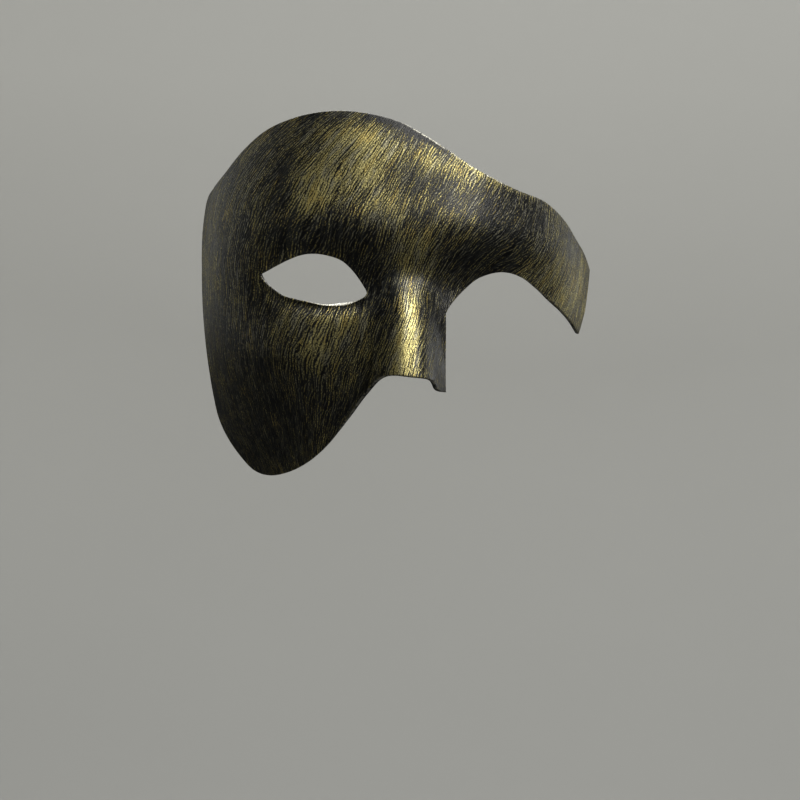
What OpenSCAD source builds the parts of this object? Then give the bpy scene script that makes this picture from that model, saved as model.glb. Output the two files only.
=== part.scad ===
// Venetian one-eyed half mask: a thin moulded shell with foam pads inside and an elastic head strap.
// Frame: mm, +Z up, the mask faces -Y, +X is to the viewer's right, origin on the bridge of the nose.
// The strap is drawn as worn, level with the temples and rising towards the back of the head.

/* [Face curve] */
// Half width of the face curve at temple level
half_w = 93.5; // [80:0.5:105]
// Distance from the bridge of the nose back to the centre of the face curve
axis_y = 105; // [90:1:120]
// Roundness of the face curve (2 is an ellipse, more is squarer)
roundness = 2.15; // [2:0.05:2.6]
// Wall thickness of the shell
shell_t = 2.0; // [1.4:0.1:3]

/* [Face relief] */
// Height that the nose rises at its lower end
nose_h = 28; // [20:1:34]
// Half width of the nose ridge at the bridge
nose_w = 8.5; // [6:0.5:12]
// Depth of the eye sockets
socket_d = 9.5; // [4:0.5:14]
// Height of the brow ridge
brow_h = 2.8; // [0:0.4:6]
// Height of the cheekbones
cheek_h = 4.5; // [0:0.5:8]

/* [Strap hardware] */
// Distance behind the bridge at which the strap turns
pivot_y = 45; // [40:0.5:50]
// Height of the strap pivot
pivot_z = 4; // [0:0.5:6]
// Distance of the flat face of each post from the middle
pivot_x = 72.0; // [69:0.1:73]
// Diameter of the pivot post
post_d = 5.0; // [4:0.1:6]
// Diametral running clearance of the link on its post
post_gap = 0.10; // [0.04:0.02:0.2]
// Thickness of the strap links
link_t = 3.0; // [2:0.1:4]
// Diameter of the bar the elastic is looped over
bar_d = 2.6; // [2:0.1:3.5]
// Distance from the pivot to that bar
bar_q = 18; // [15:0.5:24]

/* [Elastic] */
// Width of the elastic
band_w = 10; // [6:1:16]
// Thickness of the elastic
band_t = 1.2; // [0.8:0.1:2]
// Rise of the strap from the temples to the back of the head, degrees
rise = 13; // [0:1:30]
// Outward lean of the straight runs behind the links, degrees
run_a = 7; // [0:0.5:12]
// Greatest half width of the strap loop
loop_w = 79; // [75:0.5:86]
// Distance from the pivot to the widest part of the loop
loop_q = 90; // [80:1:100]
// Distance from the pivot to the back of the loop
loop_back = 148; // [130:1:170]
// Length of the doubled run that the slider rides on
double_run = 48; // [40:1:60]
// Length of the hem at the end of the tail
hem_l = 6; // [4:0.5:10]
// Distance of the slider from the pivot
slide_q = 45; // [36:0.5:54]
// Length of the slider along the elastic
slide_l = 9; // [6:0.5:12]

/* [Pads] */
// Thickness of the foam pads
pad_t = 5; // [3:0.5:8]
// Free gap between a pad and the shell, filled by its adhesive
pad_gap = 0.2; // [0.1:0.05:0.4]

/* [Node] */
// Which sub-part to draw

/* [Hidden] */
$fn = 48;
e = 0.01;

// ---------- the face surface ----------
// th is the bearing round the head from straight ahead, positive to +X, and z the height.
function sq(v) = v * v;
function fa(z) = half_w - (z > 8 ? 0.0026 : 0.0017) * sq(z - 8);
function fb(z) = axis_y + 2 - (z > 15 ? 0.0036 : 0.0024) * sq(z - 15);
function r0(th, z) = pow(pow(abs(sin(th)) / fa(z), roundness) + pow(abs(cos(th)) / fb(z), roundness), -1 / roundness);
function bump(x, z, cx, cz, wx, wz) = exp(-sq((x - cx) / wx) - sq((z - cz) / wz));
function nose(x, z) = let (h = nose_h * ln(1 + exp((2 - z) / 4)) * 4 / 46,
                           w = nose_w + 5 * min(1.5, max(0, -z / 42)))
    h * exp(-pow(abs(x) / w, 2.6));
// The brow is lower over the nose; an eye socket reaches further up than down.
function brow(x, z) = brow_h * (1 - 0.43 * exp(-sq(x / 16))) * exp(-sq((z - 21 + 0.0014 * x * x) / 13) - pow(x / 56, 4));
function socket(x, z, cx) = bump(x, z, cx, -1, 19, z > -1 ? 14 : 11);
function relief(x, z) =
    brow(x, z)
    - socket_d * (socket(x, z, -33) + socket(x, z, 33))
    + cheek_h * (bump(x, z, -44, -31, 20, 15) + bump(x, z, 44, -31, 20, 15))
    - 2.5 * bump(x, z, 0, 3, 12, 9)
    + nose(x, z);
function face(th, z) = let (r = r0(th, z), g = r + relief(r * sin(th), z) * sqrt(max(0, cos(th))))
    [g * sin(th), axis_y - g * cos(th), z];
// Point a distance d behind the outer surface, along its normal.
function behind(th, z, d) = let (u = face(th + 0.4, z) - face(th - 0.4, z), v = face(th, z + 0.6) - face(th, z - 0.6),
                                 n = cross(u, v)) face(th, z) - d * n / norm(n);

// ---------- the cut line of the shell ----------
// One row per rib of the shell: bearing and height of its top edge, of its middle, and of its bottom edge.
// The ribs right of the nose stop at the open eye arch, which is then their middle point.
ribs = [
    [-63.9, 21.6, -62.4, -12, -61, -50], [-63.5, 35.5, -61, -14, -60.2, -59.5], [-59.7, 40.9, -57, -16.5, -57.1, -68],
    [-53.9, 47, -51, -19, -52, -76.2], [-47.3, 55.8, -45, -21, -46.7, -82.2], [-40, 63.5, -38.5, -22.5, -40.1, -84],
    [-31.9, 68.1, -31.5, -23, -32.4, -81.7], [-23.9, 70.5, -24.5, -22.5, -25.4, -76.6], [-16, 70.8, -17.5, -21, -19.2, -68.8],
    [-9, 69.2, -10.8, -18.5, -13.9, -58.4], [-3.5, 66.7, -5.5, -16.5, -9.3, -47.9], [0.5, 63.6, -1, -15, -5, -40.3],
    [4.5, 59.6, 3.5, -14, 1, -40.2], [7, 57, 5.8, -13.4, 4.8, -41.3], [8.8, 55, 7.4, -13, 6.5, -45.1],
    [10.5, 53.1, 8.9, -12.9, 9.3, -45.8], [11.6, 51.8, 9.7, -10.6, 0, 0], [13.9, 49.3, 11.8, -6.5, 0, 0],
    [17, 46.5, 14.6, -2.3, 0, 0], [20.5, 43.9, 18.4, 2.7, 0, 0], [24.5, 41.3, 23.3, 5.3, 0, 0],
    [29, 39.2, 28.2, 3.9, 0, 0], [33.9, 37.5, 33, -0.4, 0, 0], [38.8, 34, 37.9, -5.5, 0, 0],
    [43.8, 29.1, 43.1, -9.6, 0, 0], [48.8, 22.7, 48.2, -13.6, 0, 0], [54.3, 17.4, 52.6, -17.2, 0, 0],
    [60.2, 10.7, 54.2, -18.2, 0, 0]];
nose_rib = 15;     // the rib along the right side of the nose, where the arch begins
per_rib = 2;       // columns of facets per rib
nc = (len(ribs) - 1) * per_rib;
cn = nose_rib * per_rib;
nr1 = 18;          // facet rows from the top edge to the middle
nr2 = 10;          // facet rows from the middle to the bottom edge
function curve(p, i, t) = let (a = p[max(0, i - 1)], b = p[i], c = p[min(len(p) - 1, i + 1)], d = p[min(len(p) - 1, i + 2)])
    0.5 * (2 * b + (c - a) * t + (2 * a - 5 * b + 4 * c - d) * t * t + (3 * b - a - 3 * c + d) * t * t * t);
low_ribs = [for (i = [0 : nose_rib]) ribs[i]];
function rib(c) = let (i = min(len(ribs) - 2, floor(c / per_rib)), t = c / per_rib - i) curve(ribs, i, t);
function low(c) = let (i = min(nose_rib - 1, floor(c / per_rib)), t = c / per_rib - i) curve(low_ribs, i, t);
// Bearing and height of the grid point in column c and row r.
function spot(c, r) = r <= nr1
    ? let (k = rib(c), s = r / nr1) [k[0] + (k[2] - k[0]) * s, k[1] + (k[3] - k[1]) * s]
    : let (k = rib(c), m = low(c), s = (r - nr1) / nr2) [k[2] + (m[4] - k[2]) * s, k[3] + (m[5] - k[3]) * s];
function depth(c) = c <= cn ? nr1 + nr2 : nr1;
// Points are stored column by column, the outer surface first.
function first(c) = c <= cn ? c * (nr1 + nr2 + 1) : cn * (nr1 + nr2 + 1) + (nr1 + nr2 + 1) + (c - cn - 1) * (nr1 + 1);
total = first(nc) + nr1 + 1;
function id(c, r) = first(c) + r;
rim = concat([for (c = [0 : nc]) id(c, 0)], [for (r = [1 : nr1]) id(nc, r)], [for (c = [nc - 1 : -1 : cn]) id(c, nr1)],
             [for (r = [nr1 + 1 : nr1 + nr2]) id(cn, r)], [for (c = [cn - 1 : -1 : 0]) id(c, nr1 + nr2)],
             [for (r = [nr1 + nr2 - 1 : -1 : 1]) id(0, r)]);
// The eye opening, as height over width seen from the front.
eye_pts = [[-61.1, 1.6], [-54.5, 4.8], [-49.1, 7.5], [-44.4, 9.3], [-39.7, 9.9], [-34.1, 9.4], [-28, 7.5], [-23.5, 4],
           [-20, -0.1], [-17.6, -3.9], [-17, -5.8], [-18, -7.3], [-22.7, -8.6], [-28.6, -9.4], [-34.8, -10],
           [-41, -9.5], [-47, -8.4], [-51.8, -6.8], [-56.2, -3.9], [-59.6, -0.8]];
function ring(p, i, t) = let (n = len(p), a = p[(i + n - 1) % n], b = p[i], c = p[(i + 1) % n], d = p[(i + 2) % n])
    0.5 * (2 * b + (c - a) * t + (2 * a - 5 * b + 4 * c - d) * t * t + (3 * b - a - 3 * c + d) * t * t * t);

module mask_shell() color("#3b3418") difference() {
    polyhedron(
        points = concat(
            [for (c = [0 : nc], r = [0 : depth(c)]) let (s = spot(c, r)) face(s[0], s[1])],
            [for (c = [0 : nc], r = [0 : depth(c)]) let (s = spot(c, r)) behind(s[0], s[1], shell_t)]),
        faces = concat(
            [for (c = [0 : nc - 1], r = [0 : min(depth(c), depth(c + 1)) - 1], k = [0, 1])
                k == 0 ? [id(c, r), id(c + 1, r), id(c + 1, r + 1)] : [id(c, r), id(c + 1, r + 1), id(c, r + 1)]],
            [for (c = [0 : nc - 1], r = [0 : min(depth(c), depth(c + 1)) - 1], k = [0, 1])
                k == 0 ? [total + id(c, r), total + id(c + 1, r + 1), total + id(c + 1, r)]
                       : [total + id(c, r), total + id(c, r + 1), total + id(c + 1, r + 1)]],
            [for (i = [0 : len(rim) - 1], k = [0, 1]) let (a = rim[i], b = rim[(i + 1) % len(rim)])
                k == 0 ? [a, total + b, b] : [a, total + a, total + b]]));
    translate([0, 60, 0]) rotate([90, 0, 0]) linear_extrude(90)
        polygon([for (i = [0 : len(eye_pts) - 1], k = [0, 1]) ring(eye_pts, i, k / 2)]);
}

// ---------- foam pads ----------
// A cushion on the inner face between two bearings and two heights, thinner towards its edges.
module cushion(a0, a1, z0, z1, t, nu, nv) {
    g = shell_t + pad_gap;
    function rise_at(u, v) = t * (0.35 + 0.65 * pow(max(0, (1 - pow(abs(2 * u - 1), 4)) * (1 - pow(abs(2 * v - 1), 4))), 0.5));
    function at(i, j) = let (u = i / nu, v = j / nv, su = 1 - 0.10 * pow(abs(2 * v - 1), 3), sv = 1 - 0.14 * pow(abs(2 * u - 1), 3))
        [(a0 + a1) / 2 + (a1 - a0) * (u - 0.5) * su, (z0 + z1) / 2 + (z1 - z0) * (v - 0.5) * sv];
    n = (nu + 1) * (nv + 1);
    function q(i, j) = i * (nv + 1) + j;
    edge = concat([for (i = [0 : nu]) q(i, 0)], [for (j = [1 : nv]) q(nu, j)], [for (i = [nu - 1 : -1 : 0]) q(i, nv)],
                  [for (j = [nv - 1 : -1 : 1]) q(0, j)]);
    polyhedron(
        points = concat([for (i = [0 : nu], j = [0 : nv]) let (s = at(i, j)) behind(s[0], s[1], g)],
                        [for (i = [0 : nu], j = [0 : nv]) let (s = at(i, j)) behind(s[0], s[1], g + rise_at(i / nu, j / nv))]),
        faces = concat(
            [for (i = [0 : nu - 1], j = [0 : nv - 1], k = [0, 1])
                k == 0 ? [q(i, j), q(i + 1, j + 1), q(i + 1, j)] : [q(i, j), q(i, j + 1), q(i + 1, j + 1)]],
            [for (i = [0 : nu - 1], j = [0 : nv - 1], k = [0, 1])
                k == 0 ? [n + q(i, j), n + q(i + 1, j), n + q(i + 1, j + 1)] : [n + q(i, j), n + q(i + 1, j + 1), n + q(i, j + 1)]],
            [for (i = [0 : len(edge) - 1], k = [0, 1]) let (a = edge[i], b = edge[(i + 1) % len(edge)])
                k == 0 ? [a, b, n + b] : [a, n + b, n + a]]));
}
module forehead_pad() color("#1c1c1d") cushion(-17, 13, 33, 47, pad_t, 16, 8);
module nose_pad_left() color("#1c1c1d") cushion(-8.4, -4.6, -25, -9, pad_t * 0.6, 6, 8);
module nose_pad_right() color("#1c1c1d") cushion(4.4, 8.1, -25, -11, pad_t * 0.6, 6, 8);
module cheek_pad() color("#1c1c1d") cushion(-43, -28, -62, -46, pad_t * 0.9, 10, 8);

// ---------- strap posts ----------
// Everything below is drawn for the +X side and mirrored by side = -1.
module side(s) { if (s > 0) children(); else mirror([1, 0, 0]) children(); }
module along_x(x0, x1, d) translate([x0, pivot_y, pivot_z]) rotate([0, 90, 0]) cylinder(h = x1 - x0, d = d);
// The wall at the pivot: its bearing is found from the position, then the bonding plane lies just inside the wall.
function bearing(y, z, lo, hi, n) = n == 0 ? (lo + hi) / 2 : let (m = (lo + hi) / 2) face(m, z)[1] > y ? bearing(y, z, lo, m, n - 1) : bearing(y, z, m, hi, n - 1);
wall_th = bearing(pivot_y, pivot_z, 40, 70, 20);
wall_p = behind(wall_th, pivot_z, shell_t);
wall_o = face(wall_th, pivot_z);
wall_n = (wall_o - wall_p) / norm(wall_o - wall_p);
wall_a = atan2(-wall_n[1], wall_n[0]);
wall_b = asin(wall_n[2]);
post_l = link_t + 0.4;
module boss() color("#141414") {
    difference() {
        union() {
            along_x(pivot_x, pivot_x + 12, 11);
            along_x(pivot_x - post_l, pivot_x + 1, post_d);
            along_x(pivot_x - post_l - 1, pivot_x, 3);
        }
        translate(wall_p + 0.35 * wall_n) rotate([0, 0, -wall_a]) rotate([0, -wall_b, 0])
            translate([0, -20, -20]) cube([40, 40, 40]);
    }
}
module cap() color("#8d8a80") difference() {
    along_x(pivot_x - post_l - 1.6, pivot_x - post_l, 8.4);
    along_x(pivot_x - post_l - 1.01, pivot_x - post_l + 1, 2.96);
}
module strap_boss_left() side(-1) boss();
module strap_boss_right() side(1) boss();
module retaining_cap_left() side(-1) cap();
module retaining_cap_right() side(1) cap();

// ---------- strap links ----------
// In the plane of the strap: p sideways, q back from the pivot, w across the elastic.
module strap_plane() translate([0, pivot_y, pivot_z]) rotate([rise, 0, 0]) children();
link_x = pivot_x - post_l / 2 - link_t / 2;
slot_w = band_w + 1;
module strap_link() color("#191919") difference() {
    strap_plane() translate([link_x, 0, 0]) {
        rotate([0, 90, 0]) cylinder(h = link_t, d = 10.4);
        translate([0.2, 3, -3.6]) cube([link_t - 0.4, 8.6, 7.2]);
        translate([0.2, 9.6, -slot_w / 2 - 2]) cube([link_t - 0.4, 2.6, slot_w + 4]);
        for (s = [-1, 1]) translate([0.2, 9.6, s > 0 ? slot_w / 2 : -slot_w / 2 - 2]) cube([link_t - 0.4, bar_q - 8.2, 2]);
        translate([link_t / 2, bar_q, -slot_w / 2 - 1]) cylinder(h = slot_w + 2, d = bar_d);
    }
    along_x(link_x - 1, link_x + link_t + 1, post_d + post_gap);
}
module strap_link_left() side(-1) strap_link();
module strap_link_right() side(1) strap_link();

// ---------- elastic ----------
bar_p = link_x + link_t / 2;
wrap_r = bar_d / 2 + 0.2 + band_t / 2;      // centre line of the elastic round the bar
lay_r = band_t / 2 + 0.8;                   // offset of each layer where the slider rides between them
lay_l = band_t / 2 + 0.1;                   // offset of each layer where they are sewn together
run_end = bar_q + double_run;
// A point of a straight run, q back from the pivot and off to its outer side.
function lay(q, off) = [bar_p + (q - bar_q) * tan(run_a) + off * cos(run_a), q - off * sin(run_a)];
function half_wrap(n) = [for (i = [0 : n]) let (a = run_a + 180 * i / n) [bar_p + wrap_r * cos(a), bar_q - wrap_r * sin(a)]];
function mirror_p(l) = [for (i = [len(l) - 1 : -1 : 0]) [-l[i][0], l[i][1]]];
// From the end of a straight run to the widest part of the loop, leaving one and joining the other smoothly.
function sweep(a, n) = let (d = [sin(run_a), cos(run_a)], b = [loop_w, loop_q], k = (loop_q - a[1]) * 0.4)
    [for (i = [1 : n]) let (t = i / n, u = 1 - t)
        u * u * u * a + 3 * u * u * t * (a + k * d) + 3 * u * t * t * (b - [0, k]) + t * t * t * b];
function back(n) = [for (i = [1 : n - 1]) let (a = 180 * i / n) [-loop_w * cos(a), loop_q + (loop_back - loop_q) * pow(sin(a), 0.92)]];
function turned(l) = [for (i = [len(l) - 1 : -1 : 0]) l[i]];
right_line = concat(turned(sweep(lay(run_end, lay_r), 6)), [lay(run_end, lay_r), lay(bar_q + 12, lay_r)], half_wrap(12),
                    [lay(bar_q + 12, -lay_r), lay(run_end, -lay_r)]);
left_line = concat(turned(sweep(lay(run_end, lay_l), 6)), [lay(run_end, lay_l), lay(bar_q + 11, lay_l)], half_wrap(12),
                   [lay(bar_q + 11, -lay_l), lay(bar_q + 21, -lay_l)]);
centre = concat(mirror_p(left_line), back(44), right_line);
function normal_at(l, i) = let (d = l[min(len(l) - 1, i + 1)] - l[max(0, i - 1)]) [-d[1], d[0]] / norm(d);
module ribbon(l, t, w) linear_extrude(w, center = true)
    polygon(concat([for (i = [0 : len(l) - 1]) l[i] + t / 2 * normal_at(l, i)],
                   [for (i = [len(l) - 1 : -1 : 0]) l[i] - t / 2 * normal_at(l, i)]));
// Frame of a straight run: x outwards from its middle plane, y back along it from the bar, z across the elastic.
module run_frame() strap_plane() translate([bar_p, bar_q, 0]) rotate([0, 0, -run_a]) children();
module elastic_band() color("#1a1a1b") {
    strap_plane() ribbon(centre, band_t, band_w);
    // the tail is folded once more on itself
    run_frame() translate([-lay_r - band_t * 1.5 + e, run_end - bar_q - hem_l, -band_w / 2]) cube([band_t, hem_l, band_w]);
}
// Thread sewn through the two layers: a bar on each face and stitches through the elastic between them.
module tack(x0, x1, y, len_w, rows) for (r = [0 : rows - 1]) translate([0, y + r * 1.3, 0]) {
    for (x = [x0 - 0.3, x1 - 0.1]) translate([x, -0.25, -len_w / 2]) cube([0.4, 0.5, len_w]);
    for (k = [0 : 4]) translate([x0 - 0.2, -0.2, -len_w / 2 + 0.2 + k * (len_w - 0.8) / 4]) cube([x1 - x0 + 0.4, 0.4, 0.4]);
}
module bar_tack_left() color("#3a3a3a") side(-1) run_frame() tack(-lay_l - band_t / 2, lay_l + band_t / 2, 13.5, 8, 3);
module hem_stitches() color("#3a3a3a") side(1) run_frame()
    tack(-lay_r - band_t * 1.5, -lay_r + band_t / 2, run_end - bar_q - hem_l + 1.6, 8, 1);
// Slide adjuster: a flat loop round both layers with a bar between them.
module strap_slider() color("#191919") run_frame() translate([0, slide_q - bar_q, 0]) difference() {
    ox = lay_r + band_t / 2 + 0.3 + 1.4;
    oz = band_w / 2 + 0.4 + 1.8;
    union() {
        translate([-ox, -slide_l / 2, -oz + 1.6]) cube([2 * ox, slide_l, 2 * oz - 3.2]);
        translate([-ox + 1.6, -slide_l / 2, -oz]) cube([2 * ox - 3.2, slide_l, 2 * oz]);
        for (sx = [-1, 1], sz = [-1, 1]) translate([sx * (ox - 1.6), -slide_l / 2, sz * (oz - 1.6)])
            rotate([-90, 0, 0]) cylinder(h = slide_l, r = 1.6);
    }
    for (s = [-1, 1]) translate([s * lay_r - band_t / 2 - 0.3, -slide_l, -band_w / 2 - 0.4])
        cube([band_t + 0.6, 2 * slide_l, band_w + 0.8]);
}

mask_shell();
forehead_pad();
nose_pad_left();
nose_pad_right();
cheek_pad();
strap_boss_left();
strap_boss_right();
retaining_cap_left();
retaining_cap_right();
strap_link_left();
strap_link_right();
elastic_band();
bar_tack_left();
hem_stitches();
strap_slider();
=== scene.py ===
import math

import bmesh
import bpy
import numpy as np
from mathutils import Matrix, Vector


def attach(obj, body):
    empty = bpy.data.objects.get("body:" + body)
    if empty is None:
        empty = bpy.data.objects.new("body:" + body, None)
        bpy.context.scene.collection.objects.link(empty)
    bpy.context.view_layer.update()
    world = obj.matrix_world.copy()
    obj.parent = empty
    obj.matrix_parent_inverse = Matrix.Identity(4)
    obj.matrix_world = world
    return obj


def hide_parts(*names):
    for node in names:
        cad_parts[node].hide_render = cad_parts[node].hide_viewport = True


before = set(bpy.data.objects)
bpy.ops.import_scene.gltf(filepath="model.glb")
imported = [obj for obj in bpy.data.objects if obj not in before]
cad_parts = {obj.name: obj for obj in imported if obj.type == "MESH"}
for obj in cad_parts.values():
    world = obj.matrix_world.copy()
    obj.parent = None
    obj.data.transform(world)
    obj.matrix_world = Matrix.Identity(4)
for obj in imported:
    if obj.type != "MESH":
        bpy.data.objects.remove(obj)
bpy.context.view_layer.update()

MM = 0.001

# ---------------------------------------------------------------- camera
F_PX, DIST, CAM_AZ, CAM_ROLL, CAM_Z, NASION_PX = 2057.0, 850.0, math.radians(-4.6), math.radians(1.8), -49.6, 405.0


def make_camera():
    c = np.array([DIST * math.sin(CAM_AZ), -DIST * math.cos(CAM_AZ), CAM_Z])
    base = np.array([-math.sin(CAM_AZ), math.cos(CAM_AZ), 0.0])
    d = math.atan((NASION_PX - 400) / F_PX)
    f = np.array([base[0] * math.cos(d) - base[1] * math.sin(d), base[0] * math.sin(d) + base[1] * math.cos(d), 0.0])
    r, u = np.array([f[1], -f[0], 0.0]), np.array([0.0, 0.0, 1.0])
    r, u = r * math.cos(CAM_ROLL) + u * math.sin(CAM_ROLL), u * math.cos(CAM_ROLL) - r * math.sin(CAM_ROLL)
    cam = bpy.data.objects.new("camera", bpy.data.cameras.new("camera"))
    bpy.context.scene.collection.objects.link(cam)
    m = Matrix(((r[0], u[0], -f[0], c[0] * MM), (r[1], u[1], -f[1], c[1] * MM), (r[2], u[2], -f[2], c[2] * MM), (0, 0, 0, 1)))
    cam.matrix_world = m
    cam.data.sensor_width = 36
    cam.data.lens = F_PX / 800 * 36
    cam.data.clip_start, cam.data.clip_end = 0.01, 20
    bpy.context.scene.camera = cam


make_camera()

# ---------------------------------------------------------------- the face surface, as in the CAD
HALF_W, AXIS_Y, ROUND, SHELL_T = 93.5, 105.0, 2.15, 2.0


def fa(z):
    return HALF_W - np.where(z > 8, 0.0026, 0.0017) * (z - 8) ** 2


def fb(z):
    return AXIS_Y + 2 - np.where(z > 15, 0.0036, 0.0024) * (z - 15) ** 2


def r0(th, z):
    return ((np.abs(np.sin(th)) / fa(z)) ** ROUND + (np.abs(np.cos(th)) / fb(z)) ** ROUND) ** (-1 / ROUND)


def bump(x, z, cx, cz, wx, wz):
    return np.exp(-(((x - cx) / wx) ** 2) - ((z - cz) / wz) ** 2)


def nose(x, z):
    h = 28 * np.log1p(np.exp((2 - z) / 4)) * 4 / 46
    w = 8.5 + 5 * np.clip(-z / 42, 0, 1.5)
    return h * np.exp(-((np.abs(x) / w) ** 2.6))


def socket(x, z, cx):
    return np.exp(-(((x - cx) / 19) ** 2) - ((z + 1) / np.where(z > -1, 14.0, 11.0)) ** 2)


def brow(x, z):
    return (2.8 - 1.2 * np.exp(-((x / 16) ** 2))) * np.exp(-(((z - 21 + 0.0014 * x * x) / 13) ** 2) - (x / 56) ** 4)


def relief(x, z):
    return (
        brow(x, z)
        - 9.5 * (socket(x, z, -33) + socket(x, z, 33))
        + 4.5 * (bump(x, z, -44, -31, 20, 15) + bump(x, z, 44, -31, 20, 15))
        - 2.5 * bump(x, z, 0, 3, 12, 9)
        + nose(x, z)
    )


def face(th, z, extra=0.0):
    """th in degrees. extra is a further rise outwards, in mm."""
    a = np.radians(th)
    r = r0(a, z)
    g = r + relief(r * np.sin(a), z) * np.sqrt(np.clip(np.cos(a), 0, 1)) + extra
    return np.stack([g * np.sin(a), AXIS_Y - g * np.cos(a), z + 0 * a], -1)


def face_normal(th, z):
    u = face(th + 0.4, z) - face(th - 0.4, z)
    v = face(th, z + 0.6) - face(th, z - 0.6)
    n = np.cross(u, v)
    return n / np.linalg.norm(n, axis=-1, keepdims=True)


def behind(th, z, d):
    return face(th, z) - np.asarray(d)[..., None] * face_normal(th, z)


# ---------------------------------------------------------------- the shell's grid
# One row per rib: bearing and height of the top edge, of the line through the eye, of the middle line, of the bottom edge.
RIBS = np.array([
    [-63.9, 21.6, -62.8, 6, -62.4, -12, -61, -50], [-63.5, 35.5, -61.5, 7, -61, -14, -60.2, -59.5],
    [-59.7, 40.9, -56.5, 6.5, -57, -16.5, -57.1, -68], [-53.9, 47, -50, 5.5, -51, -19, -52, -76.2],
    [-47.3, 55.8, -43, 3.5, -45, -21, -46.7, -82.2], [-40, 63.5, -36.3, 1.6, -38.5, -22.5, -40.1, -84],
    [-31.9, 68.1, -29.5, -0.5, -31.5, -23, -32.4, -81.7], [-23.9, 70.5, -23, -2.5, -24.5, -22.5, -25.4, -76.6],
    [-16, 70.8, -16, -4.5, -17.5, -21, -19.2, -68.8], [-9, 69.2, -9.6, -5.7, -10.8, -18.5, -13.9, -58.4],
    [-3.5, 66.7, -4.2, -6, -5.5, -16.5, -9.3, -47.9], [0.5, 63.6, 0, -5.2, -1, -15, -5, -40.3],
    [4.5, 59.6, 4.2, -3.5, 3.5, -14, 1, -40.2], [7, 57, 6.8, -2.2, 5.8, -13.4, 4.8, -41.3],
    [8.8, 55, 8.8, -1, 7.4, -13, 6.5, -45.1], [10.5, 53.1, 10.6, 0.8, 8.9, -12.9, 9.3, -45.8],
    [11.6, 51.8, 11.8, 2.5, 9.7, -10.6, 0, 0], [13.9, 49.3, 14, 5, 11.8, -6.5, 0, 0],
    [17, 46.5, 16.8, 8, 14.6, -2.3, 0, 0], [20.5, 43.9, 20.2, 11.2, 18.4, 2.7, 0, 0],
    [24.5, 41.3, 24.3, 13.5, 23.3, 5.3, 0, 0], [29, 39.2, 28.8, 13, 28.2, 3.9, 0, 0],
    [33.9, 37.5, 33.7, 10, 33, -0.4, 0, 0], [38.8, 34, 38.6, 6, 37.9, -5.5, 0, 0],
    [43.8, 29.1, 43.5, 2, 43.1, -9.6, 0, 0], [48.8, 22.7, 48.5, -2.5, 48.2, -13.6, 0, 0],
    [54.3, 17.4, 53.4, -6, 52.6, -17.2, 0, 0], [60.2, 10.7, 57.6, -8, 54.2, -18.2, 0, 0]])
NOSE_RIB, EYE_L, EYE_R = 15, 5, 9
UPPER_LID = np.array([(-36.3, 1.6), (-34.2, 2.9), (-31.8, 4.8), (-28.3, 7.5), (-25.3, 9.3), (-22.5, 9.9), (-19.4, 9.4),
                      (-16, 7.5), (-13.6, 4), (-11.6, -0.2), (-10.1, -3.9), (-9.6, -5.7)])
LOWER_LID = np.array([(-36.3, 1.6), (-35.3, -0.8), (-33.1, -3.9), (-30.3, -6.9), (-27.3, -8.4), (-23.6, -9.5), (-20, -10),
                      (-16.5, -9.4), (-12.9, -8.6), (-10.4, -7.4), (-9.6, -5.7)])


def spline(p, x):
    """Catmull-Rom through the rows of p at the positions x, which count rows."""
    x = np.asarray(x, float)
    i = np.clip(np.floor(x).astype(int), 0, len(p) - 2)
    t = (x - i)[:, None]
    a, b, c, d = p[np.clip(i - 1, 0, None)], p[i], p[i + 1], p[np.clip(i + 2, None, len(p) - 1)]
    return 0.5 * (2 * b + (c - a) * t + (2 * a - 5 * b + 4 * c - d) * t**2 + (3 * b - a - 3 * c + d) * t**3)


def even(p, n):
    """n + 1 points at even spacing along the spline through p, measured in mm on the surface."""
    q = spline(p, np.linspace(0, len(p) - 1, 800))
    s = np.r_[0, np.cumsum(np.hypot(np.diff(q[:, 0]) * 1.75, np.diff(q[:, 1])))]
    at = np.linspace(0, s[-1], n + 1)
    return np.stack([np.interp(at, s, q[:, 0]), np.interp(at, s, q[:, 1])], -1)


def close_ends(n, k=0.55):
    t = np.linspace(0, 1, n + 1)
    return t - k / (2 * math.pi) * np.sin(2 * math.pi * t)


def grid():
    per = 11
    eye_n = 64
    cols = list(np.arange(0, EYE_L * per) / per)
    cl = len(cols)
    cols += list(EYE_L + (EYE_R - EYE_L) * np.linspace(0, 1, eye_n + 1))
    cr = len(cols) - 1
    cols += list(EYE_R + np.arange(1, (len(RIBS) - 1 - EYE_R) * per + 1) / per)
    cols = np.array(cols)
    cn = int(np.argmin(np.abs(cols - NOSE_RIB)))
    k = spline(RIBS[:, :6], cols)
    low = spline(RIBS[: NOSE_RIB + 1, 6:], cols[: cn + 1])
    top, slit, mid = k[:, 0:2], k[:, 2:4], k[:, 4:6]
    up, dn = slit.copy(), slit.copy()
    up[cl : cr + 1], dn[cl : cr + 1] = even(UPPER_LID, cr - cl), even(LOWER_LID, cr - cl)
    n1, n2, n3 = ((84, 34, 66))
    s1, s2, s3 = close_ends(n1), close_ends(n2), close_ends(n3)
    upper = top[:, None] + (up - top)[:, None] * s1[None, :, None]
    middle = dn[:, None] + (mid - dn)[:, None] * s2[None, :, None]
    lower = mid[: cn + 1, None] + (low - mid[: cn + 1])[:, None] * s3[None, :, None]
    return cols, cl, cr, cn, upper, middle, lower


COLS, CL, CR, CN, UPPER, MIDDLE, LOWER = grid()


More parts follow.
